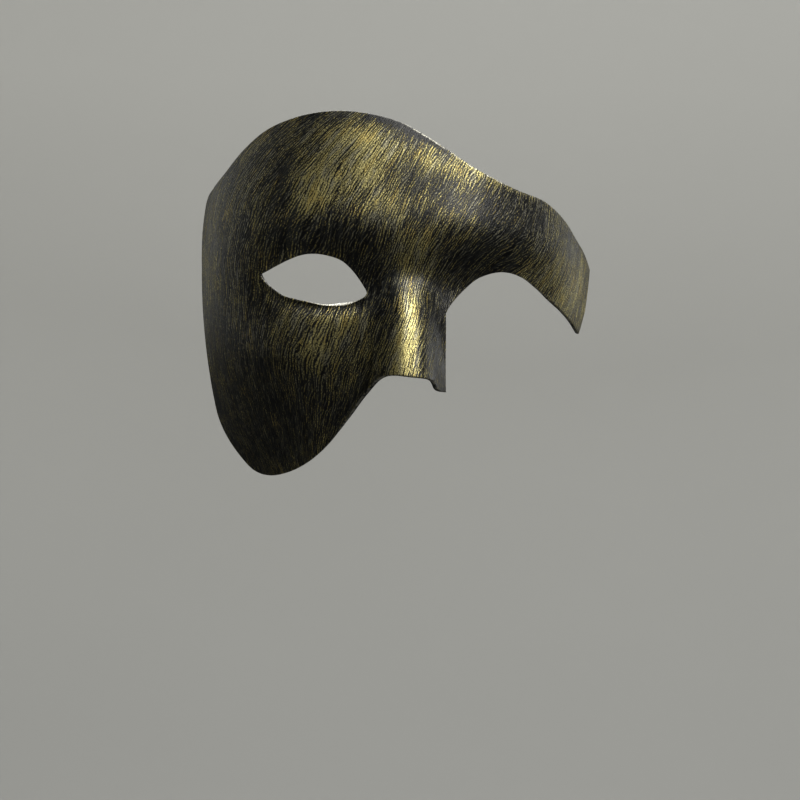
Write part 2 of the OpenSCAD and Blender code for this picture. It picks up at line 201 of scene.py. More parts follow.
def build_index():
    """Vertex numbers of the whole sheet, as three blocks of columns by rows that share their seams."""
    nc = len(COLS)
    n1, n2, n3 = UPPER.shape[1], MIDDLE.shape[1], LOWER.shape[1]
    pts = []

    def add(block):
        start = len(pts)
        pts.extend(map(tuple, block))
        return np.arange(start, start + len(block))

    iu = np.stack([add(UPPER[c]) for c in range(nc)])
    im = np.zeros((nc, n2), int)
    for c in range(nc):
        if CL < c < CR:
            im[c] = add(MIDDLE[c])
        else:
            im[c, 0] = iu[c, -1]
            im[c, 1:] = add(MIDDLE[c, 1:])
    il = np.zeros((CN + 1, n3), int)
    for c in range(CN + 1):
        il[c, 0] = im[c, -1]
        il[c, 1:] = add(LOWER[c, 1:])
    quads = []
    for ix in (iu, im, il):
        a, b, c, d = ix[:-1, :-1], ix[:-1, 1:], ix[1:, 1:], ix[1:, :-1]
        quads.append(np.stack([a, b, c, d], -1).reshape(-1, 4))
    quads = np.concatenate(quads)
    rim = list(iu[:, 0]) + list(iu[-1, 1:]) + list(im[-1, 1:]) + list(im[CN:-1, -1][::-1]) + list(il[CN, 1:])
    rim += list(il[:-1, -1][::-1]) + list(il[0, :-1][::-1]) + list(im[0, :-1][::-1]) + list(iu[0, 1:-1][::-1])
    eye = list(im[CL : CR + 1, 0]) + list(iu[CL + 1 : CR, -1][::-1])
    return np.array(pts), quads, rim, eye


EDGE_TZ, QUADS, RIM, EYE = build_index()

# Distance round the face from its middle, for flat work.
S_TH, S_Z = np.linspace(-72, 70, 143), np.linspace(-96, 84, 46)
_t, _z = np.meshgrid(S_TH, S_Z, indexing="ij")
_p = r0(np.radians(_t), _z)
S_LEN = np.concatenate([np.zeros((1, len(S_Z))), np.cumsum((_p[1:] + _p[:-1]) / 2 * math.radians(1.0), 0)])
S_LEN -= S_LEN[72]


def bilinear(f, th, z, x, y):
    i = np.clip((x - th[0]) / (th[1] - th[0]), 0, len(th) - 1.001)
    j = np.clip((y - z[0]) / (z[1] - z[0]), 0, len(z) - 1.001)
    a, b = np.floor(i).astype(int), np.floor(j).astype(int)
    u, v = i - a, j - b
    return f[a, b] * (1 - u) * (1 - v) + f[a + 1, b] * u * (1 - v) + f[a, b + 1] * (1 - u) * v + f[a + 1, b + 1] * u * v


def flat(tz):
    return np.stack([bilinear(S_LEN, S_TH, S_Z, tz[:, 0], tz[:, 1]), tz[:, 1]], -1)


def polyline_distance(p, line):
    """Distance of each point of p from an open polyline, and how far along it the nearest point is (0 to 1)."""
    a, b = line[:-1], line[1:]
    d = b - a
    best = np.full(len(p), 1e9)
    where = np.zeros(len(p))
    for i in range(len(a)):
        t = np.clip(((p - a[i]) @ d[i]) / (d[i] @ d[i] + 1e-12), 0, 1)
        q = np.linalg.norm(p - a[i] - t[:, None] * d[i], axis=1)
        m = q < best
        best[m], where[m] = q[m], ((i + t) / len(a))[m]
    return best, where


def smoothstep(a, b, x):
    t = np.clip((x - a) / (b - a), 0, 1)
    return t * t * (3 - 2 * t)


def ledge_weight():
    """How far each vertex of the eye's outline belongs to the cut ledge at the inner half of the lower lid."""
    d, w = polyline_distance(face(*EDGE_TZ[EYE].T), face(*even(LOWER_LID, 90).T))
    return smoothstep(0.44, 0.80, w) * smoothstep(1.0, 0.78, w) * (d < 0.3)


LEDGE = ledge_weight()


def inset(amount, ledge=0.0, reach=7.0):
    """Pulls the sheet in from its outlines, so that the rolled edge ends on them."""
    q = flat(EDGE_TZ)
    mm_per_deg = (flat(EDGE_TZ + [0.5, 0]) - flat(EDGE_TZ - [0.5, 0]))[:, 0]
    shift = np.zeros_like(q)
    for loop in (RIM, EYE):
        p = q[loop]
        t = np.roll(p, -1, 0) - np.roll(p, 1, 0)
        nrm = np.stack([-t[:, 1], t[:, 0]], -1)
        nrm /= np.linalg.norm(nrm, axis=1, keepdims=True)
        area2 = (p[:, 0] * np.roll(p[:, 1], -1) - np.roll(p[:, 0], -1) * p[:, 1]).sum()
        nrm *= np.sign(area2) * (1 if loop is RIM else -1)
        for _ in range(8):
            nrm = (np.roll(nrm, 1, 0) + 2 * nrm + np.roll(nrm, -1, 0)) / 4
        nrm /= np.linalg.norm(nrm, axis=1, keepdims=True)
        for s in range(0, len(q), 4000):
            c = q[s : s + 4000]
            k = ((c[:, None] - p[None]) ** 2).sum(2).argmin(1)
            dm, n = np.full(len(c), 1e9), np.zeros_like(c)
            size = np.full(len(p), amount) + (ledge * LEDGE if loop is EYE else 0)
            for i, j in ((k - 1, k), (k, (k + 1) % len(p))):
                e = p[j] - p[i]
                t = np.clip(((c - p[i]) * e).sum(1) / ((e * e).sum(1) + 1e-12), 0, 1)[:, None]
                d = np.linalg.norm(c - p[i] - t * e, axis=1)
                n = np.where((d < dm)[:, None], nrm[i] * size[i][:, None] * (1 - t) + nrm[j] * size[j][:, None] * t, n)
                dm = np.minimum(d, dm)
            shift[s : s + 4000] += n * (np.clip(1 - dm / reach, 0, 1) ** 2)[:, None]
    out = EDGE_TZ.copy()
    out[:, 0] += shift[:, 0] / mm_per_deg
    out[:, 1] += shift[:, 1]
    return out


TZ = inset(0.45, 1.6)
TZ_IN = inset(0.95)
# Section of the sloping ledge along the inner half of the lower lid, with as many points as the rolled edge has.
CUT = np.array([(0.0, -2.05), (0.10, -1.95), (0.30, -1.60), (0.50, -1.25), (0.70, -0.90), (0.88, -0.55), (1.15, 0.0), (1.6, -0.25), (2.0, -0.95)])
# Section of the rolled edge: depth behind the outer surface and reach past the cut line, in mm.
ROLL = np.array([(0.0, -0.45), (0.04, -0.22), (0.16, -0.06), (0.38, 0.0), (0.75, -0.02), (1.2, -0.10), (1.6, -0.28), (1.88, -0.55), (2.0, -0.95)])


def lid_relief(base):
    """Raised ridge along the lower lid, the crease under it, and a slight turn of the upper lid."""
    up = face(*even(UPPER_LID, 90).T)
    lo = face(*even(LOWER_LID, 90).T)
    near = (base[:, 0] < 5) & (base[:, 2] > -40) & (base[:, 2] < 30)
    h = np.zeros(len(base))
    du, wu = polyline_distance(base[near], up)
    dl, wl = polyline_distance(base[near], lo)
    lower = dl < du
    side = 0.35 + 0.65 * smoothstep(0.15, 0.6, wl)
    ends = smoothstep(0.0, 0.08, wl) * smoothstep(1.0, 0.93, wl)
    low = ends * side * (1.1 * np.exp(-((dl - 0.5) / 0.9) ** 2) - 0.7 * np.exp(-((dl - 3.6) / 1.8) ** 2) + 0.35 * np.exp(-((dl - 8.5) / 3.2) ** 2))
    upp = smoothstep(0.0, 0.1, wu) * smoothstep(1.0, 0.9, wu) * 0.5 * np.exp(-((du - 0.6) / 1.0) ** 2)
    h[near] = np.where(lower, low, upp)
    return h


def make_mesh(name, verts, faces, smooth=True):
    me = bpy.data.meshes.new(name)
    me.from_pydata([tuple(v) for v in verts], [], [tuple(int(i) for i in f) for f in faces])
    me.update()
    me.polygons.foreach_set("use_smooth", [smooth] * len(me.polygons))
    ob = bpy.data.objects.new(name, me)
    bpy.context.scene.collection.objects.link(ob)
    return ob


def vertex_normals(v, q):
    a, b, c, d = (v[q[:, i]] for i in range(4))
    n = np.cross(c - a, b - d)
    out = np.zeros_like(v)
    for i in range(4):
        np.add.at(out, q[:, i], n)
    return out / (np.linalg.norm(out, axis=1, keepdims=True) + 1e-12)


# ---------------------------------------------------------------- brush direction
# How far the strokes lean from upright, in degrees on the surface, positive towards +X as they go up: bearing, height, lean.
LEANS = np.array([
    (-62, 30, 4), (-62, 0, 0), (-62, -30, -6), (-60, -60, -16), (-58, 42, 28), (-50, 48, 45), (-42, 60, 58), (-32, 66, 66),
    (-20, 68, 58), (-50, 25, 5), (-42, 45, 32), (-36, 25, 6), (-30, 50, 48), (-25, 30, 22), (-20, 55, 40), (-12, 40, 27),
    (-10, 62, 34), (-2, 50, 24), (2, 30, 22), (0, 10, 12), (0, -15, 14), (1, -35, 18), (10, 45, 26), (12, 25, 30), (14, 8, 46),
    (20, 36, 30), (24, 22, 40), (26, 10, 62), (32, 32, 22), (34, 18, 36), (37, 4, 50), (40, 28, 4), (44, 12, 22), (48, -4, 28),
    (52, 12, 8), (58, 4, 10), (56, -12, 14), (-30, 14, 2), (-20, 16, 12), (-48, -10, -4), (-40, -24, -12), (-31, -17, 20),
    (-22, -16, 40), (-30, -34, 8), (-20, -26, 30), (-13, -30, 20), (-12, -8, 8), (-50, -45, -22), (-42, -60, -26), (-32, -45, -18), (-28, -62, -6),
    (-22, -48, 16), (-18, -60, 30), (-40, -78, -12), (-50, -76, -34), (5, -10, 6), (7, -30, 14)], float)


def flow_field():
    """Two coordinates in mm over a plain rectangle of bearings and heights: the first is constant along a stroke."""
    nt, nz = 68, 86
    th = np.linspace(-68, 66, nt)
    z = np.linspace(-92, 78, nz)
    T, Z = np.meshgrid(th, z, indexing="ij")
    tc, zc = (T[:-1, :-1] + T[1:, 1:]) / 2, (Z[:-1, :-1] + Z[1:, 1:]) / 2
    d2 = ((tc[..., None] - LEANS[:, 0]) * 1.75) ** 2 + (zc[..., None] - LEANS[:, 1]) ** 2
    w = 1 / (d2 + 60) ** 1.6
    ang = np.radians((w * LEANS[:, 2]).sum(-1) / w.sum(-1))
    dx, dz = np.sin(ang), np.cos(ang)  # along a stroke
    p = face(T, Z)
    hx = np.linalg.norm(p[1:] - p[:-1], axis=-1).mean() * np.ones_like(tc)
    hz = (z[1] - z[0]) * np.ones_like(tc)

    def grad(a):
        gx = (a[1:, :-1] + a[1:, 1:] - a[:-1, :-1] - a[:-1, 1:]) / 2 / hx
        gz = (a[:-1, 1:] + a[1:, 1:] - a[:-1, :-1] - a[1:, :-1]) / 2 / hz
        return gx, gz

    def div(gx, gz):
        out = np.zeros_like(T)
        ax, az = gx / 2 / hx, gz / 2 / hz
        out[1:, :-1] += ax - az
        out[1:, 1:] += ax + az
        out[:-1, :-1] -= ax + az
        out[:-1, 1:] += az - ax
        return out

    def solve(ux, uz, vx, vz, strict):
        """The a whose gradient along (ux, uz) is 1 and along (vx, vz) is 0, with weight strict on the second."""

        def op(a):
            gx, gz = grad(a)
            gu, gv = gx * ux + gz * uz, strict * (gx * vx + gz * vz)
            return div(gu * ux + gv * vx, gu * uz + gv * vz)

        a = T * 1.75 * ux.mean() + Z * uz.mean()
        r = div(ux, uz) - op(a)
        q, rs = r.copy(), (r * r).sum()
        for _ in range(900):
            aq = op(q)
            step = rs / ((q * aq).sum() + 1e-30)
            a, r = a + step * q, r - step * aq
            new = (r * r).sum()
            if new < 1e-9:
                break
            q, rs = r + new / rs * q, new
        return a

    across = solve(dz, -dx, dx, dz, 12.0)
    along = solve(dx, dz, dz, -dx, 1.0)

    def calm(f):
        for _ in range(3):
            for ax in (0, 1):
                p = np.pad(f, [(1, 1) if k == ax else (0, 0) for k in (0, 1)], mode="reflect", reflect_type="odd")
                f = (p.take(range(0, f.shape[ax]), ax) + 2 * f + p.take(range(2, f.shape[ax] + 2), ax)) / 4
        return f

    return th, z, calm(across), calm(along), ang


FLOW = flow_field()


def cubic(f, th, z, x, y):
    """Smooth sampling of a coarse grid, so that the strokes bend without corners."""
    i = np.clip((x - th[0]) / (th[1] - th[0]), 1, len(th) - 2.001)
    j = np.clip((y - z[0]) / (z[1] - z[0]), 1, len(z) - 2.001)
    a, b = np.floor(i).astype(int), np.floor(j).astype(int)
    u, v = i - a, j - b

    def wt(t):
        return [-0.5 * t + t**2 - 0.5 * t**3, 1 - 2.5 * t**2 + 1.5 * t**3, 0.5 * t + 2 * t**2 - 1.5 * t**3, -0.5 * t**2 + 0.5 * t**3]

    wu, wv = wt(u), wt(v)
    out = 0
    for m in range(4):
        for n in range(4):
            out = out + wu[m] * wv[n] * f[a + m - 1, b + n - 1]
    return out


# Where the gold was brushed on: x and z of the middle in mm, reach along x and z, strength.
GOLD = [
    (-41, 36, 8, 13, 0.50), (-30, 46, 11, 13, 0.36), (-17, 47, 8, 16, 0.42), (-28, 61, 14, 6, 0.36), (-2, 54, 16, 9, 0.30), (15, 50, 12, 7, 0.32),
    (27, 43, 9, 6, 0.44), (22, 29, 9, 6, 0.10), (-8, 32, 20, 12, 0.24), (38, 27, 12, 10, -0.06), (62, 4, 12, 20, 0.28), (78, -4, 10, 22, 0.38),
    (0, 12, 13, 12, 0.30), (1, -8, 4.0, 10, 0.32), (0, -28, 5.2, 18, 0.80), (-4, -36, 4, 9, 0.30), (-12, -36, 4, 7, 0.12), (-68, 46, 7, 16, 0.14),
    (-30, -17, 15, 4, 0.28), (-34, -30, 17, 13, 0.36), (-50, -16, 8, 12, 0.10), (-64, 20, 10, 34, 0.06), (-46, -78, 12, 6, 0.16),
    (-84, 10, 8, 50, 0.22), (-14, -24, 6, 14, 0.06),
]
# Painted shade: spots where the gold is thinned to darken them, in the eye sockets, under the brows, in the crease
# under the lower lid, on the right side of the nose, on the low cheek and a few other spots; x and z of the middle in
# mm, reach along x and z, strength.
PAINTED_SHADE = [(-36, 19, 22, 6, 0.16), (-12, -4, 7, 14, 0.28), (34, 9, 16, 6, 0.10), (14, -6, 5, 9, 0.20), (-56, 40, 7, 16, 0.12),
        (-52, -62, 14, 16, 0.22), (-38, -13, 22, 3.0, 0.12), (46, 25, 10, 9, 0.14), (12, -26, 4, 18, 0.16), (-6, 66, 14, 5, 0.20)]


def paint(th, z):
    x = face(th, z)[..., 0]
    g = 0.16 * np.ones_like(x)
    for cx, cz, wx, wz, s in GOLD:
        g = g + s * bump(x, z, cx, cz, wx, wz)
    # Painted shade: less gold at these spots.
    for cx, cz, wx, wz, s in PAINTED_SHADE:
        g = g - s * bump(x, z, cx, cz, wx, wz)
    return np.clip(g, 0, 1.2)


# ---------------------------------------------------------------- the shell
def make_shell():
    th, z = TZ[:, 0], TZ[:, 1]
    base = face(th, z)
    extra = lid_relief(base)
    outer = face(th, z, extra)
    nrm = vertex_normals(outer, QUADS)
    if ((nrm * face_normal(th, z)).sum(1) > 0).mean() < 0.5:
        nrm = -nrm
    inner = face(TZ_IN[:, 0], TZ_IN[:, 1]) - SHELL_T * face_normal(TZ_IN[:, 0], TZ_IN[:, 1])
    n = len(outer)
    verts = [outer, inner]
    faces = [QUADS, QUADS[:, ::-1] + n]
    uv_out = flat(TZ) / 226 + [0.5, 0.62]
    flow = np.stack([cubic(FLOW[2], FLOW[0], FLOW[1], th, z), cubic(FLOW[3], FLOW[0], FLOW[1], th, z), np.zeros(n)], -1)
    gold = paint(th, z)
    x_mm = base[:, 0]
    # No painted highlight on the outer face; the ledge strips below carry it.
    ledge_highlight = np.zeros(n)
    # Wear and painted highlight: rubbed flecks at a quarter strength round the rims, at full strength along the top
    # right edge where the light falls.
    worn = 0.25 + 0.75 * smoothstep(-12, 2, x_mm) * smoothstep(46, 30, x_mm) * (base[:, 2] > 30)
    high = base[:, 2] > 24
    dr, _ = polyline_distance(base[high], face(EDGE_TZ[RIM][EDGE_TZ[RIM][:, 1] > 15][:, 0], EDGE_TZ[RIM][EDGE_TZ[RIM][:, 1] > 15][:, 1]))
    near_top = np.zeros(n)
    near_top[high] = smoothstep(1.0, 0.45, dr)
    gold[high] -= 0.55 * smoothstep(3.4, 1.4, dr) * smoothstep(-22, -12, x_mm[high]) * smoothstep(20, 8, x_mm[high])
    # More gold along the top right rim: partly wear, partly painted highlight.
    gold[high] += 0.25 * smoothstep(3.5, 1.0, dr) * smoothstep(14, 24, x_mm[high]) * smoothstep(60, 40, x_mm[high])
    attrs = {"flow": [flow, flow], "gold": [gold, gold * 0], "raw": [np.zeros(n), np.ones(n)], "ledge_highlight": [ledge_highlight, ledge_highlight * 0], "worn": [worn * near_top * (x_mm > 0), worn * 0]}
    total = 2 * n
    rim_faces = []
    K = len(ROLL) - 1
    uv_strip = {}
    edge = face(EDGE_TZ[:, 0], EDGE_TZ[:, 1], extra)
    for loop in (RIM, EYE):
        o, e, m = outer[loop], edge[loop], face_normal(EDGE_TZ[loop, 0], EDGE_TZ[loop, 1])
        t = np.roll(e, -1, 0) - np.roll(e, 1, 0)
        t /= np.linalg.norm(t, axis=1, keepdims=True)
        co = np.cross(t, m)
        co /= np.linalg.norm(co, axis=1, keepdims=True)
        co *= np.sign((co * (e - o)).sum(1))[:, None]
        co = (np.roll(co, 1, 0) + 2 * co + np.roll(co, -1, 0)) / 4
        co /= np.linalg.norm(co, axis=1, keepdims=True)
        ids = [np.array(loop)]
        uo, ue = uv_out[loop], (flat(EDGE_TZ[loop]) / 226 + [0.5, 0.62])
        du = ue - uo
        du /= np.linalg.norm(du, axis=1, keepdims=True) + 1e-12
        run = np.r_[0, np.cumsum(np.hypot(*np.diff(ROLL, axis=0).T))]
        lower = LEDGE if loop is EYE else np.zeros(len(loop))
        for k in range(1, K):
            at = ROLL[k] * (1 - lower)[:, None] + CUT[k] * lower[:, None]
            verts.append(e - at[:, :1] * m + at[:, 1:] * co)
            ids.append(np.arange(total, total + len(loop)))
            total += len(loop)
            attrs["flow"].append(flow[loop] + np.array([0, run[k], 0]))
            attrs["gold"].append(gold[loop] * (k < 3))
            bare = min(1.0, max(0.0, (ROLL[k, 0] - 0.06) / 0.35))
            # Painted highlight: the ledge strips of the lower lid's inner half are painted near white instead of bare
            # black.
            ledge = np.clip(lower * 1.6, 0, 1) * (k < 6)
            attrs["raw"].append(bare * (1 - ledge))
            attrs["ledge_highlight"].append(ledge)
            attrs["worn"].append(worn[loop] * (ROLL[k, 0] < 1.0))
            for j, v in enumerate(ids[-1]):
                uv_strip[int(v)] = uo[j] + du[j] * run[k] / 226
        ids.append(np.array(loop) + n)
        for j, v in enumerate(loop):
            uv_strip[("in", int(v) + n)] = uo[j] + du[j] * run[-1] / 226
        for k in range(K):
            p, q = ids[k], ids[k + 1]
            rim_faces.append(np.stack([p, np.roll(p, -1), np.roll(q, -1), q], -1))
    faces += rim_faces
    V = np.concatenate(verts)
    Fq = np.concatenate(faces)
    ob = make_mesh("mask_shell_painted", V * MM, Fq)
    me = ob.data
    bm = bmesh.new()
    bm.from_mesh(me)
    bmesh.ops.recalc_face_normals(bm, faces=bm.faces)
    bm.to_mesh(me)
    bm.free()
    for name, parts in attrs.items():
        data = np.concatenate(parts)
        if data.ndim == 2:
            at = me.attributes.new(name, "FLOAT_VECTOR", "POINT")
            at.data.foreach_set("vector", data.astype(np.float32).ravel())
        else:
            at = me.attributes.new(name, "FLOAT", "POINT")
            at.data.foreach_set("value", data.astype(np.float32).ravel())
    # UV map: outer chart, rim strips beyond its outline, inner chart below at a third of the scale.
    layer = me.uv_layers.new(name="OFBake")
    vi = np.zeros(len(me.loops), int)
    me.loops.foreach_get("vertex_index", vi)
    uv = np.zeros((len(vi), 2))
    tot = np.zeros(len(me.polygons), int)
    me.polygons.foreach_get("loop_total", tot)
    poly = np.repeat(np.arange(len(tot)), tot)
    is_inner = np.ones(len(tot), bool)
    np.logical_and.at(is_inner, poly, (vi >= n) & (vi < 2 * n))
    inner_loop = is_inner[poly]
    m = vi < n
    uv[m] = uv_out[vi[m]]
    m = inner_loop
    uv[m] = (uv_out[vi[m] - n] - np.array([0.5, 0.62])) * 0.34 + np.array([0.19, 0.14])
    for k in np.nonzero((vi >= n) & ~inner_loop)[0]:
        v = int(vi[k])
        uv[k] = uv_strip[v] if v >= 2 * n else uv_strip[("in", v)]
    layer.data.foreach_set("uv", uv.astype(np.float32).ravel())
    return ob


# ---------------------------------------------------------------- material helpers
class Nodes:
    def __init__(self, name):
        self.mat = bpy.data.materials.new(name)
        self.mat.use_nodes = True
        self.nt = self.mat.node_tree
        self.nt.nodes.clear()
        self.out = self.nt.nodes.new("ShaderNodeOutputMaterial")
        self.bsdf = self.nt.nodes.new("ShaderNodeBsdfPrincipled")
        self.nt.links.new(self.bsdf.outputs[0], self.out.inputs["Surface"])

    def put(self, socket, v):
        if isinstance(v, bpy.types.NodeSocket):
            self.nt.links.new(v, socket)
        elif v is not None:
            socket.default_value = v

    def math(self, op, a, b=None, c=None, clamp=False):
        n = self.nt.nodes.new("ShaderNodeMath")
        n.operation, n.use_clamp = op, clamp
        for i, v in enumerate((a, b, c)):
            self.put(n.inputs[i], v)
        return n.outputs[0]

    def attr(self, name, out="Fac"):
        n = self.nt.nodes.new("ShaderNodeAttribute")
        n.attribute_name = name
        return n.outputs[out]

    def coord(self, kind="Object"):
        return self.nt.nodes.new("ShaderNodeTexCoord").outputs[kind]

    def split(self, v):
        n = self.nt.nodes.new("ShaderNodeSeparateXYZ")
        self.put(n.inputs[0], v)
        return n.outputs

    def join(self, x, y, z=0.0):
        n = self.nt.nodes.new("ShaderNodeCombineXYZ")
        for i, v in enumerate((x, y, z)):
            self.put(n.inputs[i], v)
        return n.outputs[0]

    def noise(self, vector, scale=1.0, detail=2.0, rough=0.5, distortion=0.0, out="Fac"):
        n = self.nt.nodes.new("ShaderNodeTexNoise")
        n.noise_dimensions = "3D"
        self.put(n.inputs["Vector"], vector)
        n.inputs["Scale"].default_value = scale
        n.inputs["Detail"].default_value = detail
        n.inputs["Roughness"].default_value = rough
        n.inputs["Distortion"].default_value = distortion
        return n.outputs[out]

    def voronoi(self, vector, scale=1.0, feature="F1", out="Distance"):
        n = self.nt.nodes.new("ShaderNodeTexVoronoi")
        n.feature = feature
        self.put(n.inputs["Vector"], vector)
        n.inputs["Scale"].default_value = scale
        return n.outputs[out]

    def wave(self, vector, scale, distortion=0.0, detail=2.0, dscale=1.0, direction="X"):
        n = self.nt.nodes.new("ShaderNodeTexWave")
        n.bands_direction = direction
        self.put(n.inputs["Vector"], vector)
        n.inputs["Scale"].default_value = scale
        n.inputs["Distortion"].default_value = distortion
        n.inputs["Detail"].default_value = detail
        n.inputs["Detail Scale"].default_value = dscale
        return n.outputs["Fac"]

    def ramp(self, v, lo, hi, a=0.0, b=1.0, smooth=True):
        n = self.nt.nodes.new("ShaderNodeMapRange")
        n.interpolation_type = "SMOOTHSTEP" if smooth else "LINEAR"
        self.put(n.inputs["Value"], v)
        for i, x in zip(("From Min", "From Max", "To Min", "To Max"), (lo, hi, a, b)):
            self.put(n.inputs[i], x)
        return n.outputs[0]

    def mix(self, f, a, b):
        n = self.nt.nodes.new("ShaderNodeMix")
        n.data_type = "RGBA"
        self.put(n.inputs[0], f)
        for i, v in ((6, a), (7, b)):
            self.put(n.inputs[i], v if isinstance(v, bpy.types.NodeSocket) else (*v, 1.0))
        return n.outputs[2]

    def bump(self, height, distance, strength=1.0, normal=None):
        n = self.nt.nodes.new("ShaderNodeBump")
        n.inputs["Strength"].default_value = strength
        n.inputs["Distance"].default_value = distance
        self.put(n.inputs["Height"], height)
        self.put(n.inputs["Normal"], normal)
        return n.outputs[0]

    def set(self, name, v):
        s = self.bsdf.inputs[name]
        if isinstance(v, tuple) and len(v) == 3:
            v = (*v, 1.0)
        self.put(s, v)


def shell_material():
    m = Nodes("brushed_gold_on_black")
    flow = m.split(m.attr("flow", "Vector"))
    a, b = flow[0], flow[1]
    gold, raw, ledge_highlight = m.attr("gold"), m.attr("raw"), m.attr("ledge_highlight")
    paint_on = m.math("SUBTRACT", 1.0, raw)
    worn = m.attr("worn")
    # The strokes wander a little across their own direction.
    drift = m.noise(m.join(m.math("MULTIPLY", a, 0.04), m.math("MULTIPLY", b, 0.035), 3.1), 1.0, 1.0, 0.5)
    a1 = m.math("ADD", a, m.math("MULTIPLY", m.math("SUBTRACT", drift, 0.5), 5.0))

    def hairs(lean, period, wander, length, seed):
        """Fine brush lines side by side, from -1 to 1, that come and go: lean across the flow, period and length in mm."""
        x = m.math("ADD", a1, m.math("MULTIPLY", b, lean))
        n = m.noise(m.join(m.math("MULTIPLY", x, 0.55 / period), m.math("MULTIPLY", b, 1 / length), seed), 1.0, 1.0, 0.5)
        line = m.math("SINE", m.math("MULTIPLY", m.math("ADD", m.math("MULTIPLY", x, 1 / period), m.math("MULTIPLY", n, wander)), 2 * math.pi))
        here = m.noise(m.join(m.math("MULTIPLY", x, 0.6 / period), m.math("MULTIPLY", b, 1.3 / length), seed + 3.3), 1.0, 0.0)
        return m.math("MULTIPLY", line, m.ramp(here, 0.30, 0.62, 0.15, 1.0))

    def streak(lean, width, length, seed, detail=0.0):
        x = m.math("ADD", a1, m.math("MULTIPLY", b, lean))
        return m.noise(m.join(m.math("MULTIPLY", x, 1 / width), m.math("MULTIPLY", b, 1 / length), seed), 1.0, detail)

    h1 = hairs(0.03, 0.92, 2.2, 12.0, 0.0)
    h2 = hairs(-0.10, 1.15, 2.0, 9.0, 9.1)
    h3 = hairs(0.28, 0.85, 2.4, 6.0, 21.7)
    h4 = hairs(-0.34, 1.0, 2.2, 5.0, 33.9)
    hair = m.math("ADD", m.math("MULTIPLY", h1, 0.42), m.math("MULTIPLY", h2, 0.30))
    hair = m.math("ADD", hair, m.math("ADD", m.math("MULTIPLY", h3, 0.20), m.math("MULTIPLY", h4, 0.14)))
    s3 = streak(0.0, 1.3, 16.0, 11.9, 1.0)
    speck = m.noise(m.join(m.math("MULTIPLY", a, 2.2), m.math("MULTIPLY", b, 0.9), 51.0), 1.0, 1.0, 0.6)
    glint = m.noise(m.join(m.math("MULTIPLY", a, 1.7), m.math("MULTIPLY", b, 1.6), 61.0), 1.0, 1.0, 0.6)
    patch = m.noise(m.join(m.math("MULTIPLY", a, 0.12), m.math("MULTIPLY", b, 0.055), 14.0), 1.0, 3.0, 0.6)
    dens = m.math("ADD", gold, m.math("MULTIPLY", m.math("SUBTRACT", patch, 0.5), 0.85))
    dens = m.math("ADD", dens, m.math("MULTIPLY", m.math("SUBTRACT", s3, 0.5), 0.45))
    lay_on = m.math("ADD", m.math("SUBTRACT", dens, 0.40), m.math("MULTIPLY", hair, 1.0))
    lay_on = m.math("ADD", lay_on, m.math("MULTIPLY", m.math("SUBTRACT", speck, 0.5), 0.9))
    lay_on = m.math("ADD", lay_on, m.math("MULTIPLY", m.math("SUBTRACT", glint, 0.5), 0.7))
    cover = m.math("MULTIPLY", m.ramp(lay_on, -0.22, 0.62, 0.0, 1.0), paint_on)
    # Thin dry strokes that show everywhere, grey-olive.
    dry = m.ramp(m.math("ADD", m.math("MULTIPLY", h4, 0.6), m.math("MULTIPLY", h2, 0.5)), 0.25, 0.85, 0.0, 1.0)
    dry = m.math("MULTIPLY", dry, paint_on)
    tone = m.math("ADD", m.math("MULTIPLY", dens, 0.75), m.math("MULTIPLY", m.math("SUBTRACT", glint, 0.5), 1.7))
    tone = m.ramp(m.math("ADD", tone, m.math("MULTIPLY", hair, 0.35)), 0.0, 1.1)
    gold_c = m.mix(tone, (0.125, 0.107, 0.036), (0.76, 0.665, 0.275))
    # Some strokes picked up black and dried grey, others are thick and warm.
    tint = streak(0.08, 2.6, 11.0, 71.0, 2.0)
    gold_c = m.mix(m.math("MULTIPLY", m.ramp(tint, 0.50, 0.66), 0.60), gold_c, (0.30, 0.295, 0.235))
    gold_c = m.mix(m.math("MULTIPLY", m.ramp(tint, 0.46, 0.32), 0.45), gold_c, (0.60, 0.44, 0.11))
    black = m.mix(m.ramp(s3, 0.35, 0.65), (0.0024, 0.0026, 0.0026), (0.0095, 0.0105, 0.0095))
    dry_c = m.mix(m.math("MULTIPLY", dry, 0.60), black, (0.115, 0.113, 0.090))
    col = m.mix(cover, dry_c, gold_c)
    # Hard rubbed rims: pale metal flecks where the edge is handled, made strongest along the top right edge as painted
    # highlight.
    fleck = m.ramp(m.noise(m.coord("Object"), 650.0, 3.0, 0.7), 0.43, 0.56)
    wear_and_highlight = m.math("MULTIPLY", m.math("MULTIPLY", worn, fleck), 0.70)
